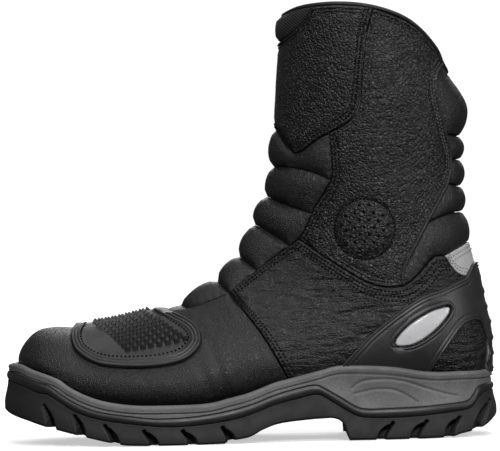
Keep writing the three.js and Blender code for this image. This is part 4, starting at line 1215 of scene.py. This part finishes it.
def make_heel_cup():
    window = side(CUP_WINDOW)
    bottom = [trace(straight((50, 40), CUP_WINDOW[0], 120)), window,
              trace(straight(CUP_WINDOW[-1], (160, 36.5), 60))]
    half = [side(CUP_PEAK), side(CUP_EDGE), *bottom]
    loop = outline(SIDE, *wrapped(half), step=1.3)
    lens = trace(ring(REFLECTOR, 70))

    dense = trace(ring(REFLECTOR, 600))
    lens_tree = kd(SIDE.points(np.vstack([dense, dense * [1, -1] + [0, 2]]))[0].tolist())
    edge_tree = kd(SIDE.points(outline(SIDE, *wrapped(half), step=0.25))[0].tolist())

    def relief(spot):
        z = spot.p[:, 2]
        edge, lens_edge = distances(edge_tree, spot.p)[0], distances(lens_tree, spot.p)[0]
        ridges = ((edge, 0.8, 0.6), (edge, 1.75, -0.5), (edge, 2.7, 0.6), (edge, 3.7, -0.4),
                  (lens_edge, 0.8, 0.7), (lens_edge, 1.9, -0.4))
        beads = sum(rise * np.exp(-(((away - at) / 0.4) ** 2)) for away, at, rise in ridges)
        back = smoothstep((np.abs(spot.v) - 0.86) / 0.06)
        ribs = 0.9 * back * np.maximum(0, np.sin(2 * np.pi * (z - 38) / 9.5)) ** 2 * smoothstep((100 - z) / 8)
        swept = 0.25 * wobble(spot.p, 30, 3.0)
        return beads + ribs + swept

    rings = (0.4, 0.8, 1.25, 1.75, 2.25, 2.7, 3.2, 3.7, 4.3)
    made = sheet(SIDE, [loop, lens, lens * [1, -1] + [0, 2]], level=2.5, wall=CUP_WALL, rim=0.7,
                 rings=rings, relief=relief, step=1.6)
    piece("heel_cup_moulding", made, [MOULDED], "foot", ["heel_cup"])
    for name, pairs in (("outer", lens), ("inner", mirrored(lens))):
        made = sheet(SIDE, [pairs], level=1.9, wall=1.6, rim=0.9, seam=0.8, rings=(0.4, 0.9, 1.6),
                     relief=lambda spot: 0.5 * swell(spot.p, spot.faces, spot.rim), step=1.3)
        node = f"heel_reflector_{name}"
        piece(f"{node}_lens", made, [LENS], "foot", [node])


# ---------- sole ----------

SOLE_OUTLINE = [(-149.6, 8), (-143, -14), (-129, -32), (-104, -44.5), (-76, -51.5), (-48, -52.7),
                (-15, -49.5), (25, -45), (75, -42.5), (115, -38), (140, -27.5), (149.6, 0),
                (140, 27.5), (115, 37), (75, 41), (25, 41.5), (-15, 44), (-48, 50.5), (-76, 52.7),
                (-104, 51.5), (-129, 43.5), (-143, 29)]
GROUND = [(-156, 40), (-153.5, 24), (-149, 19.5), (-135, 15), (-122, 11), (-96, 4.5), (-82, 1.5),
          (-68, 0), (-18, 0), (-13, 1.6), (-1, 3.5), (8, 8), (19.5, 11.5), (42, 13.5), (52, 13.2),
          (57, 9), (60, 0.6), (63, 0), (116, 0), (128, 2), (140, 5), (148, 10), (154, 18)]
BEAD_LOW = [(-156, 42), (-140, 37), (-130, 33), (-122.5, 31.5), (-115.5, 27), (-105.5, 21),
            (-91, 16.5), (-71.5, 13.5), (-51.5, 11.5), (-32, 12), (-12, 14.5), (0, 17.5), (15, 23),
            (29.5, 26.5), (41.5, 28.5), (51.5, 23), (63, 16), (71, 14), (88.5, 13.5), (108.5, 14.5),
            (128.5, 16.5), (135.5, 18.5), (139.5, 23.5), (145.5, 27.5), (156, 28)]
BEAD_HIGH = [(-156, 46), (-143, 43), (-130, 39), (-122, 36.5), (-113.5, 30.5), (-103.5, 24.8),
             (-91, 20.5), (-71, 17.5), (-56.5, 16), (-36.5, 16.5), (-17, 19), (0, 23), (15, 28.5),
             (30, 32.5), (39.5, 34), (44.5, 32.5), (54.5, 26.5), (64, 20.5), (71, 18.5), (84, 18.5),
             (103.5, 19), (123.5, 20.5), (132.5, 21.8), (136.5, 25.5), (140.5, 30.5), (156, 32.5)]
MIDSOLE_TOP = [(-156, 48), (-143.5, 49.5), (-134.5, 46.5), (-125, 43.5), (-117, 40.5),
               (-110.5, 36), (-100.5, 31), (-88, 27), (-71, 24.5), (-51.5, 24), (-26.5, 24.5),
               (-12, 27.5), (0, 30.5), (15, 36), (25, 38.5), (40, 42), (52, 45), (60, 45.5),
               (75, 45), (89.5, 43.5), (104, 41), (114, 40), (128.5, 40), (143.5, 40), (156, 41)]
NOTCHES = [((-123, 25), (-121.5, 11)), ((-104.5, 19), (-103, 7)), ((-86, 13), (-82.5, 1.5)),
           ((-62.5, 9.5), (-59, 0)), ((-39, 9), (-36, 0.5)), ((-15, 10.5), (-13, 1)),
           ((84.5, 10.5), (80, 1)), ((105, 11), (100.5, 2)), ((125, 12.5), (121.5, 3.5)),
           ((144, 21.5), (138.5, 6))]
RELIEF_LINES = [[(62, 31.5), (68.5, 35.5), (81, 36.5), (93, 35), (105.5, 31), (118, 27), (127, 25)],
                [(63.5, 28), (77.5, 30.5), (90, 29), (102, 22)]]
LIP = 2.3  # radius of the midsole's rounded upper lip
NOTCH = {"width": 5.0, "depth": 8.0, "groove": 4.5}


def height_on(points, x):
    line = curve(points, step=0.5)
    return np.interp(x, line[:, 0], line[:, 1])


def loft(rings_of_points, look_of):
    """Joins closed rings of points, low to high, into a wall of quads."""
    count = len(rings_of_points[0])
    base = np.vstack(rings_of_points)
    looks = {}
    for i in range(len(rings_of_points) - 1):
        faces = looks.setdefault(look_of(i), [])
        a, b = i * count, (i + 1) * count
        faces += [(a + k, a + (k + 1) % count, b + (k + 1) % count, b + k) for k in range(count)]
    return base, looks


def cap(points, inner, height, flip):
    """Closes a ring of points with a face net whose inner points stand at height(x, y)."""
    ring_points = [Vector(p[:2]) for p in points]
    edges = [(i, (i + 1) % len(points)) for i in range(len(points))]
    found = delaunay_2d_cdt([*ring_points, *map(Vector, inner)], edges, [], 1, 1e-7)
    flat = np.array([list(p) for p in found[0]])
    z = height(flat[:, 0], flat[:, 1])
    for i, sources in enumerate(found[3]):
        if sources and sources[0] < len(points):
            z[i] = points[sources[0], 2]
    faces = [face[::-1] if flip else face for face in found[2]]
    return np.column_stack([flat, z]), faces, found[3]


def wall_ring(columns, normals, offset, z):
    return np.column_stack([columns + normals * offset[:, None], z])


def sole_columns(spacing=0.6):
    loop = ring(SOLE_OUTLINE, 2400)
    closed = np.vstack([loop, loop[:1]])
    length = np.concatenate([[0], np.cumsum(np.linalg.norm(np.diff(closed, axis=0), axis=1))])
    at = np.linspace(0, length[-1], int(length[-1] / spacing), endpoint=False)
    columns = np.stack([np.interp(at, length, closed[:, k]) for k in range(2)], -1)
    way = np.roll(columns, -1, axis=0) - np.roll(columns, 1, axis=0)
    way /= np.linalg.norm(way, axis=1)[:, None]
    return columns, np.stack([way[:, 1], -way[:, 0]], -1)


def notch_mask(x, z):
    """1 inside the comma-shaped notches between the lugs, as seen from the side."""
    mask = np.zeros_like(x)
    for (x1, z1), (x0, z0) in NOTCHES:
        low = np.array([x0 + (x0 - x1) * 0.3, z0 - (z1 - z0) * 0.3])
        run = np.array([x1, z1 - 0.8]) - low
        t = np.clip(((x - low[0]) * run[0] + (z - low[1]) * run[1]) / (run @ run), 0, 1)
        way = -1 if x1 < 40 else 1
        hook = way * (1.9 * t**3 - 1.1 * np.sin(np.pi * t))
        half = NOTCH["width"] / 2 * (1.08 - 0.72 * t**2.2)
        away = np.hypot(x - low[0] - t * run[0] - hook, z - low[1] - t * run[1])
        mask = np.maximum(mask, smoothstep((half + 0.3 - away) / 0.6))
    return mask


def tread_height(x, y):
    z = height_on(GROUND, x)
    cut = np.zeros_like(x)
    for _, (x0, _) in NOTCHES:
        bow = x0 + 2.5 * np.cos(y / 18)
        cut = np.maximum(cut, smoothstep((NOTCH["width"] / 2 + 0.4 - np.abs(x - bow)) / 0.8))
    zigzag = np.abs(((x / 11) % 2) - 1) * 6 - 3
    on_lugs = (x < -18) | (x > 63)
    middle = smoothstep((2.6 - np.abs(y - 2 - zigzag)) / 0.8) * on_lugs
    arch = 0.5 * (np.sin(2 * np.pi * x / 6) > 0) * ((x > 0) & (x < 50))
    return z + NOTCH["groove"] * np.maximum(cut, middle) + arch


def make_sole():
    columns, normals = sole_columns()
    x = columns[:, 0]
    end = smoothstep((np.abs(x) - 120) / 30)
    welt = 2.0 + 1.0 * end
    ground, bead_low = height_on(GROUND, x), height_on(BEAD_LOW, x)
    bead_high, top = height_on(BEAD_HIGH, x), height_on(MIDSOLE_TOP, x)

    wall, looks = [], []
    for f in np.linspace(0, 1, 26):
        z = ground + (bead_low - 0.7 - ground) * f
        foot = 1.6 * (1 - min(f / 0.12, 1)) ** 2
        flare = welt * (0.25 + 0.75 * smoothstep((1.05 - f) / 0.8)) - foot
        grain = 0.25 * wobble(np.column_stack([columns, z]), 9.0)
        wall.append(wall_ring(columns, normals, flare - NOTCH["depth"] * notch_mask(x, z) + grain, z))
        looks.append(0)
    low, high = bead_low - 0.35, bead_high + 0.1
    wall.append(wall_ring(columns, normals, np.full(len(x), -1.3), low))
    looks.append(1)
    for turn in np.radians([-75, -50, -25, 0, 25, 50, 75]):
        z = (low + high) / 2 + (high - low) / 2 * np.sin(turn) * 0.98
        wall.append(wall_ring(columns, normals, 0.1 + 1.3 * np.cos(turn) + 0 * x, z))
        looks.append(1)
    wall.append(wall_ring(columns, normals, np.full(len(x), -1.3), high))
    looks.append(1)
    outsole = Shape()
    base, quads = loft(wall, lambda i: looks[i])
    grid_x, grid_y = np.meshgrid(np.arange(-150, 150, 0.85), np.arange(-54, 54, 2.4))
    inner = np.stack([grid_x.ravel(), grid_y.ravel()], -1)
    low_ring = wall[0][::2]
    inner = inner[even_odd(inner, [low_ring[:, :2]])]
    tree = kd([(p[0], p[1], 0) for p in wall[0]])
    inner = inner[[tree.find((p[0], p[1], 0))[2] > 0.7 for p in inner]]
    close(outsole, base, quads, wall[0], inner, tread_height, wall[-1])
    piece("outsole_rubber_tread", outsole, [TREAD_RUBBER, BEAD_RUBBER], "foot", ["outsole"])

    wall = [wall_ring(columns, normals, np.full(len(x), -1.2), bead_high + 0.15)]
    count = 34
    for f in np.linspace(0, 1, count):
        z = bead_high + 0.35 + (top - LIP - bead_high - 0.35) * f
        relief = np.zeros_like(x)
        for line in RELIEF_LINES:
            near = kd([(a, 0, b) for a, b in curve(line, step=0.4)])
            away = np.array([near.find((a, 0, b))[2] if 50 < a < 140 else 9 for a, b in zip(x, z)])
            relief -= 0.7 * smoothstep((1.0 - away) / 0.7)
        below_lip = top - LIP - z
        lip = 0.6 * smoothstep((2.6 - below_lip) / 0.5) - 0.5 * np.exp(-(((below_lip - 2.9) / 0.45) ** 2))
        hollow = -1.4 * np.sin(np.pi * np.clip(below_lip / np.maximum(top - bead_high, 1), 0, 1)) * \
            smoothstep((top - bead_high - 9) / 8)
        lip *= smoothstep((top - bead_high - 4) / 3)
        wall.append(wall_ring(columns, normals, relief + lip + hollow, z))
    arc = [(LIP * (1 - math.cos(a)), LIP * (1 - math.sin(a))) for a in np.radians([15, 30, 45, 60, 75, 90])]
    for inset, drop in (*arc, (3.2, 0.15), (3.9, 0.8), (5.0, 2.6), (7.5, 4.5)):
        wall.append(wall_ring(columns, normals, np.full(len(x), 0.6 - inset), top - drop))
    midsole = Shape()
    base, quads = loft(wall, lambda i: 0)
    close(midsole, base, quads, wall[0], [], lambda a, b: height_on(BEAD_HIGH, a) + 0.15, wall[-1])
    piece("midsole_foam_rubber", midsole, [FOAM_RUBBER], "foot", ["midsole"])


def close(made, base, quads, low, inner, height, high):
    """Adds a lofted wall with nets over its lowest and highest rings."""
    bottom, bottom_faces, sources = cap(low, inner, height, True)
    level = high[:, 2].mean()
    over, over_faces, over_sources = cap(high, [], lambda a, b: np.full(len(a), level), False)
    count, first_high = len(low), len(base) - len(high)
    points = np.vstack([base, bottom, over])
    nets = ((len(base), sources, 0), (len(base) + len(bottom), over_sources, first_high))
    maps = []
    for start, found, offset in nets:
        maps.append([offset + s[0] if s and s[0] < count else start + i for i, s in enumerate(found)])
    faces = [tuple(maps[0][i] for i in face) for face in bottom_faces]
    faces += [tuple(maps[1][i] for i in face) for face in over_faces]
    all_faces, look_numbers = list(faces), [0] * len(faces)
    for look, some in quads.items():
        all_faces += some
        look_numbers += [look] * len(some)
    used = np.unique(np.concatenate([np.array(face) for face in all_faces]))
    renumber = np.full(len(points), -1)
    renumber[used] = np.arange(len(used))
    made.add(points[used], [tuple(renumber[list(face)]) for face in all_faces], 0)
    made.looks[-len(look_numbers):] = look_numbers


# ---------- collar, lining and footbed ----------


def collar_pairs(drop, count=240):
    """Pairs round the collar, from v 0 by the outer side, the back and the inner side."""
    line = curve([(x, z - drop) for x, z in COLLAR], step=0.5)
    v = np.linspace(0, 2, count, endpoint=False)
    low, high = np.full(count, 0.7), np.ones(count)
    for _ in range(30):
        s = (low + high) / 2
        p = surface(s, v)
        over = p[:, 2] > np.interp(p[:, 0], line[:, 0], line[:, 1])
        low, high = np.where(over, low, s), np.where(over, s, high)
    return np.stack([low, v], -1)


def make_collar():
    pairs = collar_pairs(3.1)
    place, normal = SIDE.points(pairs)
    x = place[:, 0]
    slit = (np.abs(x - ZIP["x"]) < ZIP["slit"]) & (pairs[:, 1] > 1)
    first = np.flatnonzero(slit)[-1] + 1
    order = np.roll(np.arange(len(pairs)), -first)
    keep = order[: len(pairs) - slit.sum()]
    made = Shape()
    turn = np.linspace(0, 2 * np.pi, 20, endpoint=False)
    out, up = np.cos(turn), np.sin(turn)
    profile = np.stack([-3.3 + 2.7 * np.sign(out) * np.abs(out) ** 0.7,
                        1.4 * np.sign(up) * np.abs(up) ** 0.8], -1)
    line = place[keep]
    gather = 0.12 * wobble(line, 4.0, 6.0)
    sweep(made, line + normal[keep] * gather[:, None], normal[keep], profile)
    piece("collar_roll", made, [BINDING], "shaft", ["collar_binding"])


def make_lining():
    around = 128
    v = np.linspace(0, 2, around, endpoint=False)
    top = np.interp(v, *collar_pairs(2.6).T[::-1])
    shell = []
    for deep in (LINING_OUT, LINING_OUT + LINING_WALL):
        grid = []
        for f in np.linspace(0, 1, 90):
            s = 0.06 + (top - 0.06) * f
            place, normal = SIDE.points(np.stack([s, v], -1))
            p = place - normal * deep
            floor = seat(p[:, 0]) + 2.0 + 0.45 * (deep - LINING_OUT)
            p[:, 2] = np.maximum(p[:, 2], floor)
            grid.append(p)
        shell.append(grid)
    walls = [*shell[0], *shell[1][::-1]]
    made = Shape()
    base, quads = loft(walls, lambda i: 0)
    faces = quads[0]
    last = (len(walls) - 1) * around
    faces += [(k, last + k, last + (k + 1) % around, (k + 1) % around) for k in range(around)]
    made.add(base, faces)
    nodes = ["lining_foot", "lining_ankle", "lining_shaft"]
    piece("lining_sock", made, [LINING], "upper", nodes)


class Plan(Flat):
    """The seat of the upper, seen from above: a pair is x and y."""

    def __init__(self):
        super().__init__((0, 0, 0), (1, 0, 0), (0, 1, 0))

    def points(self, q):
        return np.column_stack([q, seat(q[:, 0])]), np.tile([0.0, 0.0, 1.0], (len(q), 1))


def make_footbed():
    x = np.linspace(-126, 132, 60)
    s, t = locate(np.column_stack([x, seat(x) + 6]))
    v = turn_of(t)
    margin = LINING_OUT + LINING_WALL + 0.8
    outer, inner = surface(s, v)[:, 1] + margin, surface(s, -v)[:, 1] - margin
    ends = [np.column_stack([x, outer]), np.column_stack([x, inner])[::-1]]
    toe = straight(ends[1][-1], ends[0][0], 12)
    heel = straight(ends[0][-1], ends[1][0], 12)
    loop = outline(PLAN, toe, ends[0], heel, ends[1])

    def relief(spot):
        x = spot.p[:, 0]
        cup = -0.9 * np.exp(-(((x - 105) / 26) ** 2)) * smoothstep(spot.d / 18)
        return cup - 0.5 * smoothstep(spot.d / 12) + 0.12 * wobble(spot.p, 12)

    made = sheet(PLAN, [loop], level=8.0, wall=5.0, rim=2.0, rings=(0.4, 1.0, 2.0, 3.2), relief=relief,
                 step=3.0)
    bed = piece("footbed_cushion", made, [FOOTBED], "foot", ["footbed"])


PLAN = Plan()

# ---------- zip and closure flap, on the inner side ----------


def inner_point(x, z):
    s, t = locate([(x, z)])
    return surface(s, -turn_of(t))[0]


def zip_skin():
    foot, head = inner_point(ZIP["x"], ZIP["foot"]), inner_point(ZIP["x"], ZIP["head"])
    up = (head - foot) / np.linalg.norm(head - foot)
    middle = (ZIP["foot"] + ZIP["head"]) / 2
    across = inner_point(ZIP["x"] + ZIP["tape"], middle) - inner_point(ZIP["x"] - ZIP["tape"], middle)
    across -= up * (across @ up)
    return Flat(foot, across, up), np.linalg.norm(head - foot)


def rectangle(skin, low, high, step, corner=0.0):
    """A rectangle's outline as pairs, its corners rounded."""
    (x0, y0), (x1, y1) = low, high
    points = []
    for cx, cy, start in ((x1, y1, 0), (x0, y1, 90), (x0, y0, 180), (x1, y0, 270)):
        inside = (cx - corner if cx == x1 else cx + corner, cy - corner if cy == y1 else cy + corner)
        for turn in np.radians(np.linspace(start, start + 90, 6 if corner else 1)):
            points.append((inside[0] + corner * math.cos(turn), inside[1] + corner * math.sin(turn)))
    points.append(points[0])
    lines = [straight(np.array(a), np.array(b), 12) for a, b in zip(points[:-1], points[1:])]
    return outline(skin, *lines, step=step)


def make_zip():
    skin, length = zip_skin()
    for name, low, high in (("front", -ZIP["tape"], -0.3), ("rear", 0.3, ZIP["tape"])):
        loop = rectangle(skin, (low, -3.5), (high, length + 3.5), 1.2)
        made = sheet(skin, [loop], level=-2.5, wall=0.8, rim=0.2, rings=(0.4,), step=1.6)
        node = f"zip_tape_{name}"
        piece(f"{node}_weave", made, [TAPE], "upper", [node])
    chain = Shape()
    for sign in (1, -1):
        up = 0.0 if sign > 0 else 1.25
        while up < length - 2:
            add_block(chain, skin, (sign * 1.15, -0.75, up + 0.8), (1.6, 1.05, 0.72), 0.35)
            up += 2.5
    for up in (-1.0, length + 0.6):
        add_block(chain, skin, (0, -0.65, up), (2.9, 1.3, 1.3), 0.5)
    piece("zip_teeth", chain, [ZINC], "upper", ["zip_chain"])

    top = length - 1.3
    slider = Shape()
    for out, thick in ((1.5, 0.6), (-1.25, 0.35)):
        add_block(slider, skin, (0, out, top - 3.2), (3.9, thick, 2.9), 0.5)
        add_block(slider, skin, (0, out, top - 8.2), (3.2, thick, 2.7), 0.5)
    for sign in (1, -1):
        add_block(slider, skin, (sign * 3.65, 0.1, top - 3.6), (0.5, 1.6, 2.6), 0.3)
        add_block(slider, skin, (sign * 3.1, 0.1, top - 8.4), (0.5, 1.6, 2.2), 0.3)
    for up in (top - 8.4, top - 2.0):
        add_block(slider, skin, (0, 3.0, up), (1.3, 1.6, 0.5), 0.3)
    add_block(slider, skin, (0, 4.9, top - 5.2), (1.3, 0.45, 3.7), 0.35)
    piece("zip_slider_body", slider, [ZINC], "zip_slider", ["zip_slider"])

    pin = top - 11 + 4.2
    outer = rectangle(skin, (-3.4, pin - 25.2), (3.4, pin + 0.5), 0.8, 2.4)
    eye = rectangle(skin, (-1.75, pin - 7.8), (1.75, pin - 0.8), 0.7, 1.0)

    def relief(spot):
        up = spot.q[:, 1]
        grip = (up < pin - 12) & (np.abs(spot.q[:, 0]) < 2)
        return 0.3 * grip * np.maximum(0, np.sin(2 * np.pi * up / 2.4))

    made = sheet(skin, [outer, eye], level=4.3, wall=1.3, rim=0.45, under=0.45, step=0.7,
                 rings=(0.2, 0.45, 0.8), relief=relief)
    piece("zip_pull_tab", made, [ZINC], "zip_pull", ["zip_pull"])


def add_block(made, skin, centre, half, corner):
    """A box with bevelled edges in the zip's frame: centre and half sizes across, out and up."""
    cube = bmesh.new()
    bmesh.ops.create_cube(cube, size=2.0)
    for vertex in cube.verts:
        vertex.co = Vector([c * h for c, h in zip(vertex.co, half)])
    width = min(corner, 0.7 * min(half))
    bmesh.ops.bevel(cube, geom=list(cube.edges), offset=width, segments=2, affect="EDGES", profile=0.6)
    cube.verts.index_update()
    local = np.array([list(vertex.co) for vertex in cube.verts]) + centre
    faces = [tuple(vertex.index for vertex in face.verts) for face in cube.faces]
    cube.free()
    place = skin.origin + local[:, :1] * skin.across + local[:, 1:2] * skin.out + local[:, 2:] * skin.up
    made.add(place, faces)


def make_flap():
    front, rear, low, high = 56, 98, 226, 257
    flap_in = 3 * 0.3 + 2 * 0.7 + 0.3
    fold = front + 2.2
    edge = [(fold, low), (rear - 6, low), (rear - 1.7, low + 1.8), (rear, low + 6), (rear, high - 9),
            (rear - 2, high - 4.5), (rear - 6, high - 3), (fold, high)]

    def loop_of(points, step=1.3):
        lines = [trace(straight(a, b, 30)) for a, b in zip(points, [*points[1:], points[0]])]
        return mirrored(outline(SIDE, *lines, step=step))

    def relief(spot):
        return sewn(spot, (2.2,)) + undulation(spot, 0.25, 16, 2.0)

    made = sheet(SIDE, [loop_of(edge)], level=flap_in + 1.8, wall=1.8, rim=0.7, under=0.5, relief=relief,
                 step=1.6)
    for a, b in zip(edge[1:], edge[2:]):
        rows(made, mirrored(trace(straight(a, b, 30))), (2.2,))
    piece("closure_flap_leather", made, [SMOOTH, THREAD], "closure_flap", ["closure_flap"])
    strip = [(front - 9, low), (front + 3, low), (front + 3, high), (front - 9, high)]
    made = sheet(SIDE, [loop_of(strip)], level=2.0, wall=1.7, rim=0.6, relief=relief, step=1.6)
    line = mirrored(trace(straight((front - 9, low), (front - 9, high), 40)))
    rows(made, line, (2.0, 4.0))
    node = "closure_flap_margin"
    piece(f"{node}_leather", made, [SMOOTH, THREAD], "shaft", [node])
    patch = [(rear - 21, low + 4), (rear - 3, low + 5), (rear - 3, high - 9), (rear - 21, high - 5)]
    for name, level, body in (("loop_patch", 1.0, "shaft"), ("hook_patch", flap_in - 0.3, "closure_flap")):
        made = sheet(SIDE, [loop_of(patch)], level=level, wall=0.7, rim=0.2, rings=(0.4,), step=1.6)
        piece(f"{name}_pile", made, [HOOKS], body, [name])


def dress_inner_nodes():
    """Finishes for the stiffeners, guards, board, shank and foam, which stay the CAD's own solids."""
    board = rubber("stiffener_board", 0.12, 0.85, 0.8, 0.05)
    foam = rubber("padding_foam", 0.25, 0.9, 0.6, 0.2)
    guard = rubber("guard_plastic", 0.03, 0.45, 0.6, 0.04)
    finishes = {
        board: ("insole_board", "toe_puff", "heel_stiffener"),
        guard: ("shin_guard", "ankle_guard_outer", "ankle_guard_inner"),
        foam: ("shaft_foam_outer", "shaft_foam_inner"),
        STEEL: ("shank",),
    }
    for look, names in finishes.items():
        for name in names:
            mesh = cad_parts[name].data
            mesh.materials.clear()
            mesh.materials.append(look)


make_shift_pad()
make_heel_cup()
make_sole()
make_collar()
make_lining()
make_footbed()
make_zip()
make_flap()
dress_inner_nodes()

# ---------- floor, light and camera ----------

SEEN_WHITE = 1.05  # the studio's white behind the boot
FELT_WHITE = 0.085  # how much of that white lights the boot
LEAN = math.radians(1.276)  # the camera's turn about its own axis


def area_light(name, place, aim, size, power):
    data = bpy.data.lights.new(name, "AREA")
    data.shape, data.size, data.size_y, data.energy = "RECTANGLE", size[0], size[1], power
    lamp = bpy.data.objects.new(name, data)
    bpy.context.scene.collection.objects.link(lamp)
    lamp.location = place
    lamp.rotation_euler = (Vector(aim) - Vector(place)).to_track_quat("-Z", "Y").to_euler()


def make_stage():
    floor_mesh = bpy.data.meshes.new("floor")
    reach = 6.0
    corners = [(-reach, -reach, 0), (reach, -reach, 0), (reach, reach, 0), (-reach, reach, 0)]
    floor_mesh.from_pydata(corners, [], [(0, 1, 2, 3)])
    floor = bpy.data.objects.new("floor", floor_mesh)
    floor.location.z = -0.0004
    bpy.context.scene.collection.objects.link(floor)
    paper = Look("floor_paper", grey(0.8), 0.8, Emission_Color=(1, 1, 1, 1))
    place = paper.node("ShaderNodeTexCoord", {}, "Object")
    away = paper.node("ShaderNodeVectorMath", {0: place}, "Value", operation="LENGTH")
    paper.tree.links.new(paper.ramp(away, 0.2, 1.3, 0.52, 1.1), paper.shader.inputs["Emission Strength"])
    floor_mesh.materials.append(paper.material)
    floor.visible_diffuse = floor.visible_glossy = False

    world = bpy.data.worlds.new("studio")
    bpy.context.scene.world = world
    world.use_nodes = True
    tree = world.node_tree
    tree.nodes.clear()
    seen = tree.nodes.new("ShaderNodeBackground")
    felt = tree.nodes.new("ShaderNodeBackground")
    for shade, strength in ((seen, SEEN_WHITE), (felt, FELT_WHITE)):
        shade.inputs["Strength"].default_value = strength
        shade.inputs["Color"].default_value = (1, 1, 1, 1)
    path = tree.nodes.new("ShaderNodeLightPath")
    either = tree.nodes.new("ShaderNodeMixShader")
    output = tree.nodes.new("ShaderNodeOutputWorld")
    tree.links.new(path.outputs["Is Camera Ray"], either.inputs[0])
    tree.links.new(felt.outputs[0], either.inputs[1])
    tree.links.new(seen.outputs[0], either.inputs[2])
    tree.links.new(either.outputs[0], output.inputs["Surface"])

    area_light("key", (-1.0, -0.9, 1.1), (0, 0, 0.12), (0.6, 0.6), 5)
    area_light("front", (0.3, -1.7, 0.9), (0, 0, 0.14), (0.35, 0.35), 19)
    area_light("high", (0.0, -1.1, 1.5), (0, 0, 0.14), (0.5, 0.3), 8)
    area_light("top", (0.1, 0.15, 1.5), (0, 0, 0), (1.4, 0.8), 9)
    area_light("fill", (1.4, -0.8, 0.5), (0, 0, 0.12), (0.3, 0.9), 7)
    area_light("back", (0.2, 1.5, 0.9), (0, 0, 0.12), (1.2, 0.6), 9)


def make_camera():
    """Level with the boot's middle on its outer side, turned a little so that the boot leans back."""
    data = bpy.data.cameras.new("camera")
    camera = bpy.data.objects.new("camera", data)
    bpy.context.scene.collection.objects.link(camera)
    away, view_width = 2.0, 0.310
    middle_x, middle_z = 0.00235, 0.1316
    data.sensor_width = 36
    data.lens = data.sensor_width * away / view_width
    camera.location = (middle_x, -away, middle_z)
    camera.rotation_euler = (math.pi / 2, LEAN, 0)
    bpy.context.scene.camera = camera


make_stage()
make_camera()
bpy.context.scene.view_settings.view_transform = "Standard"
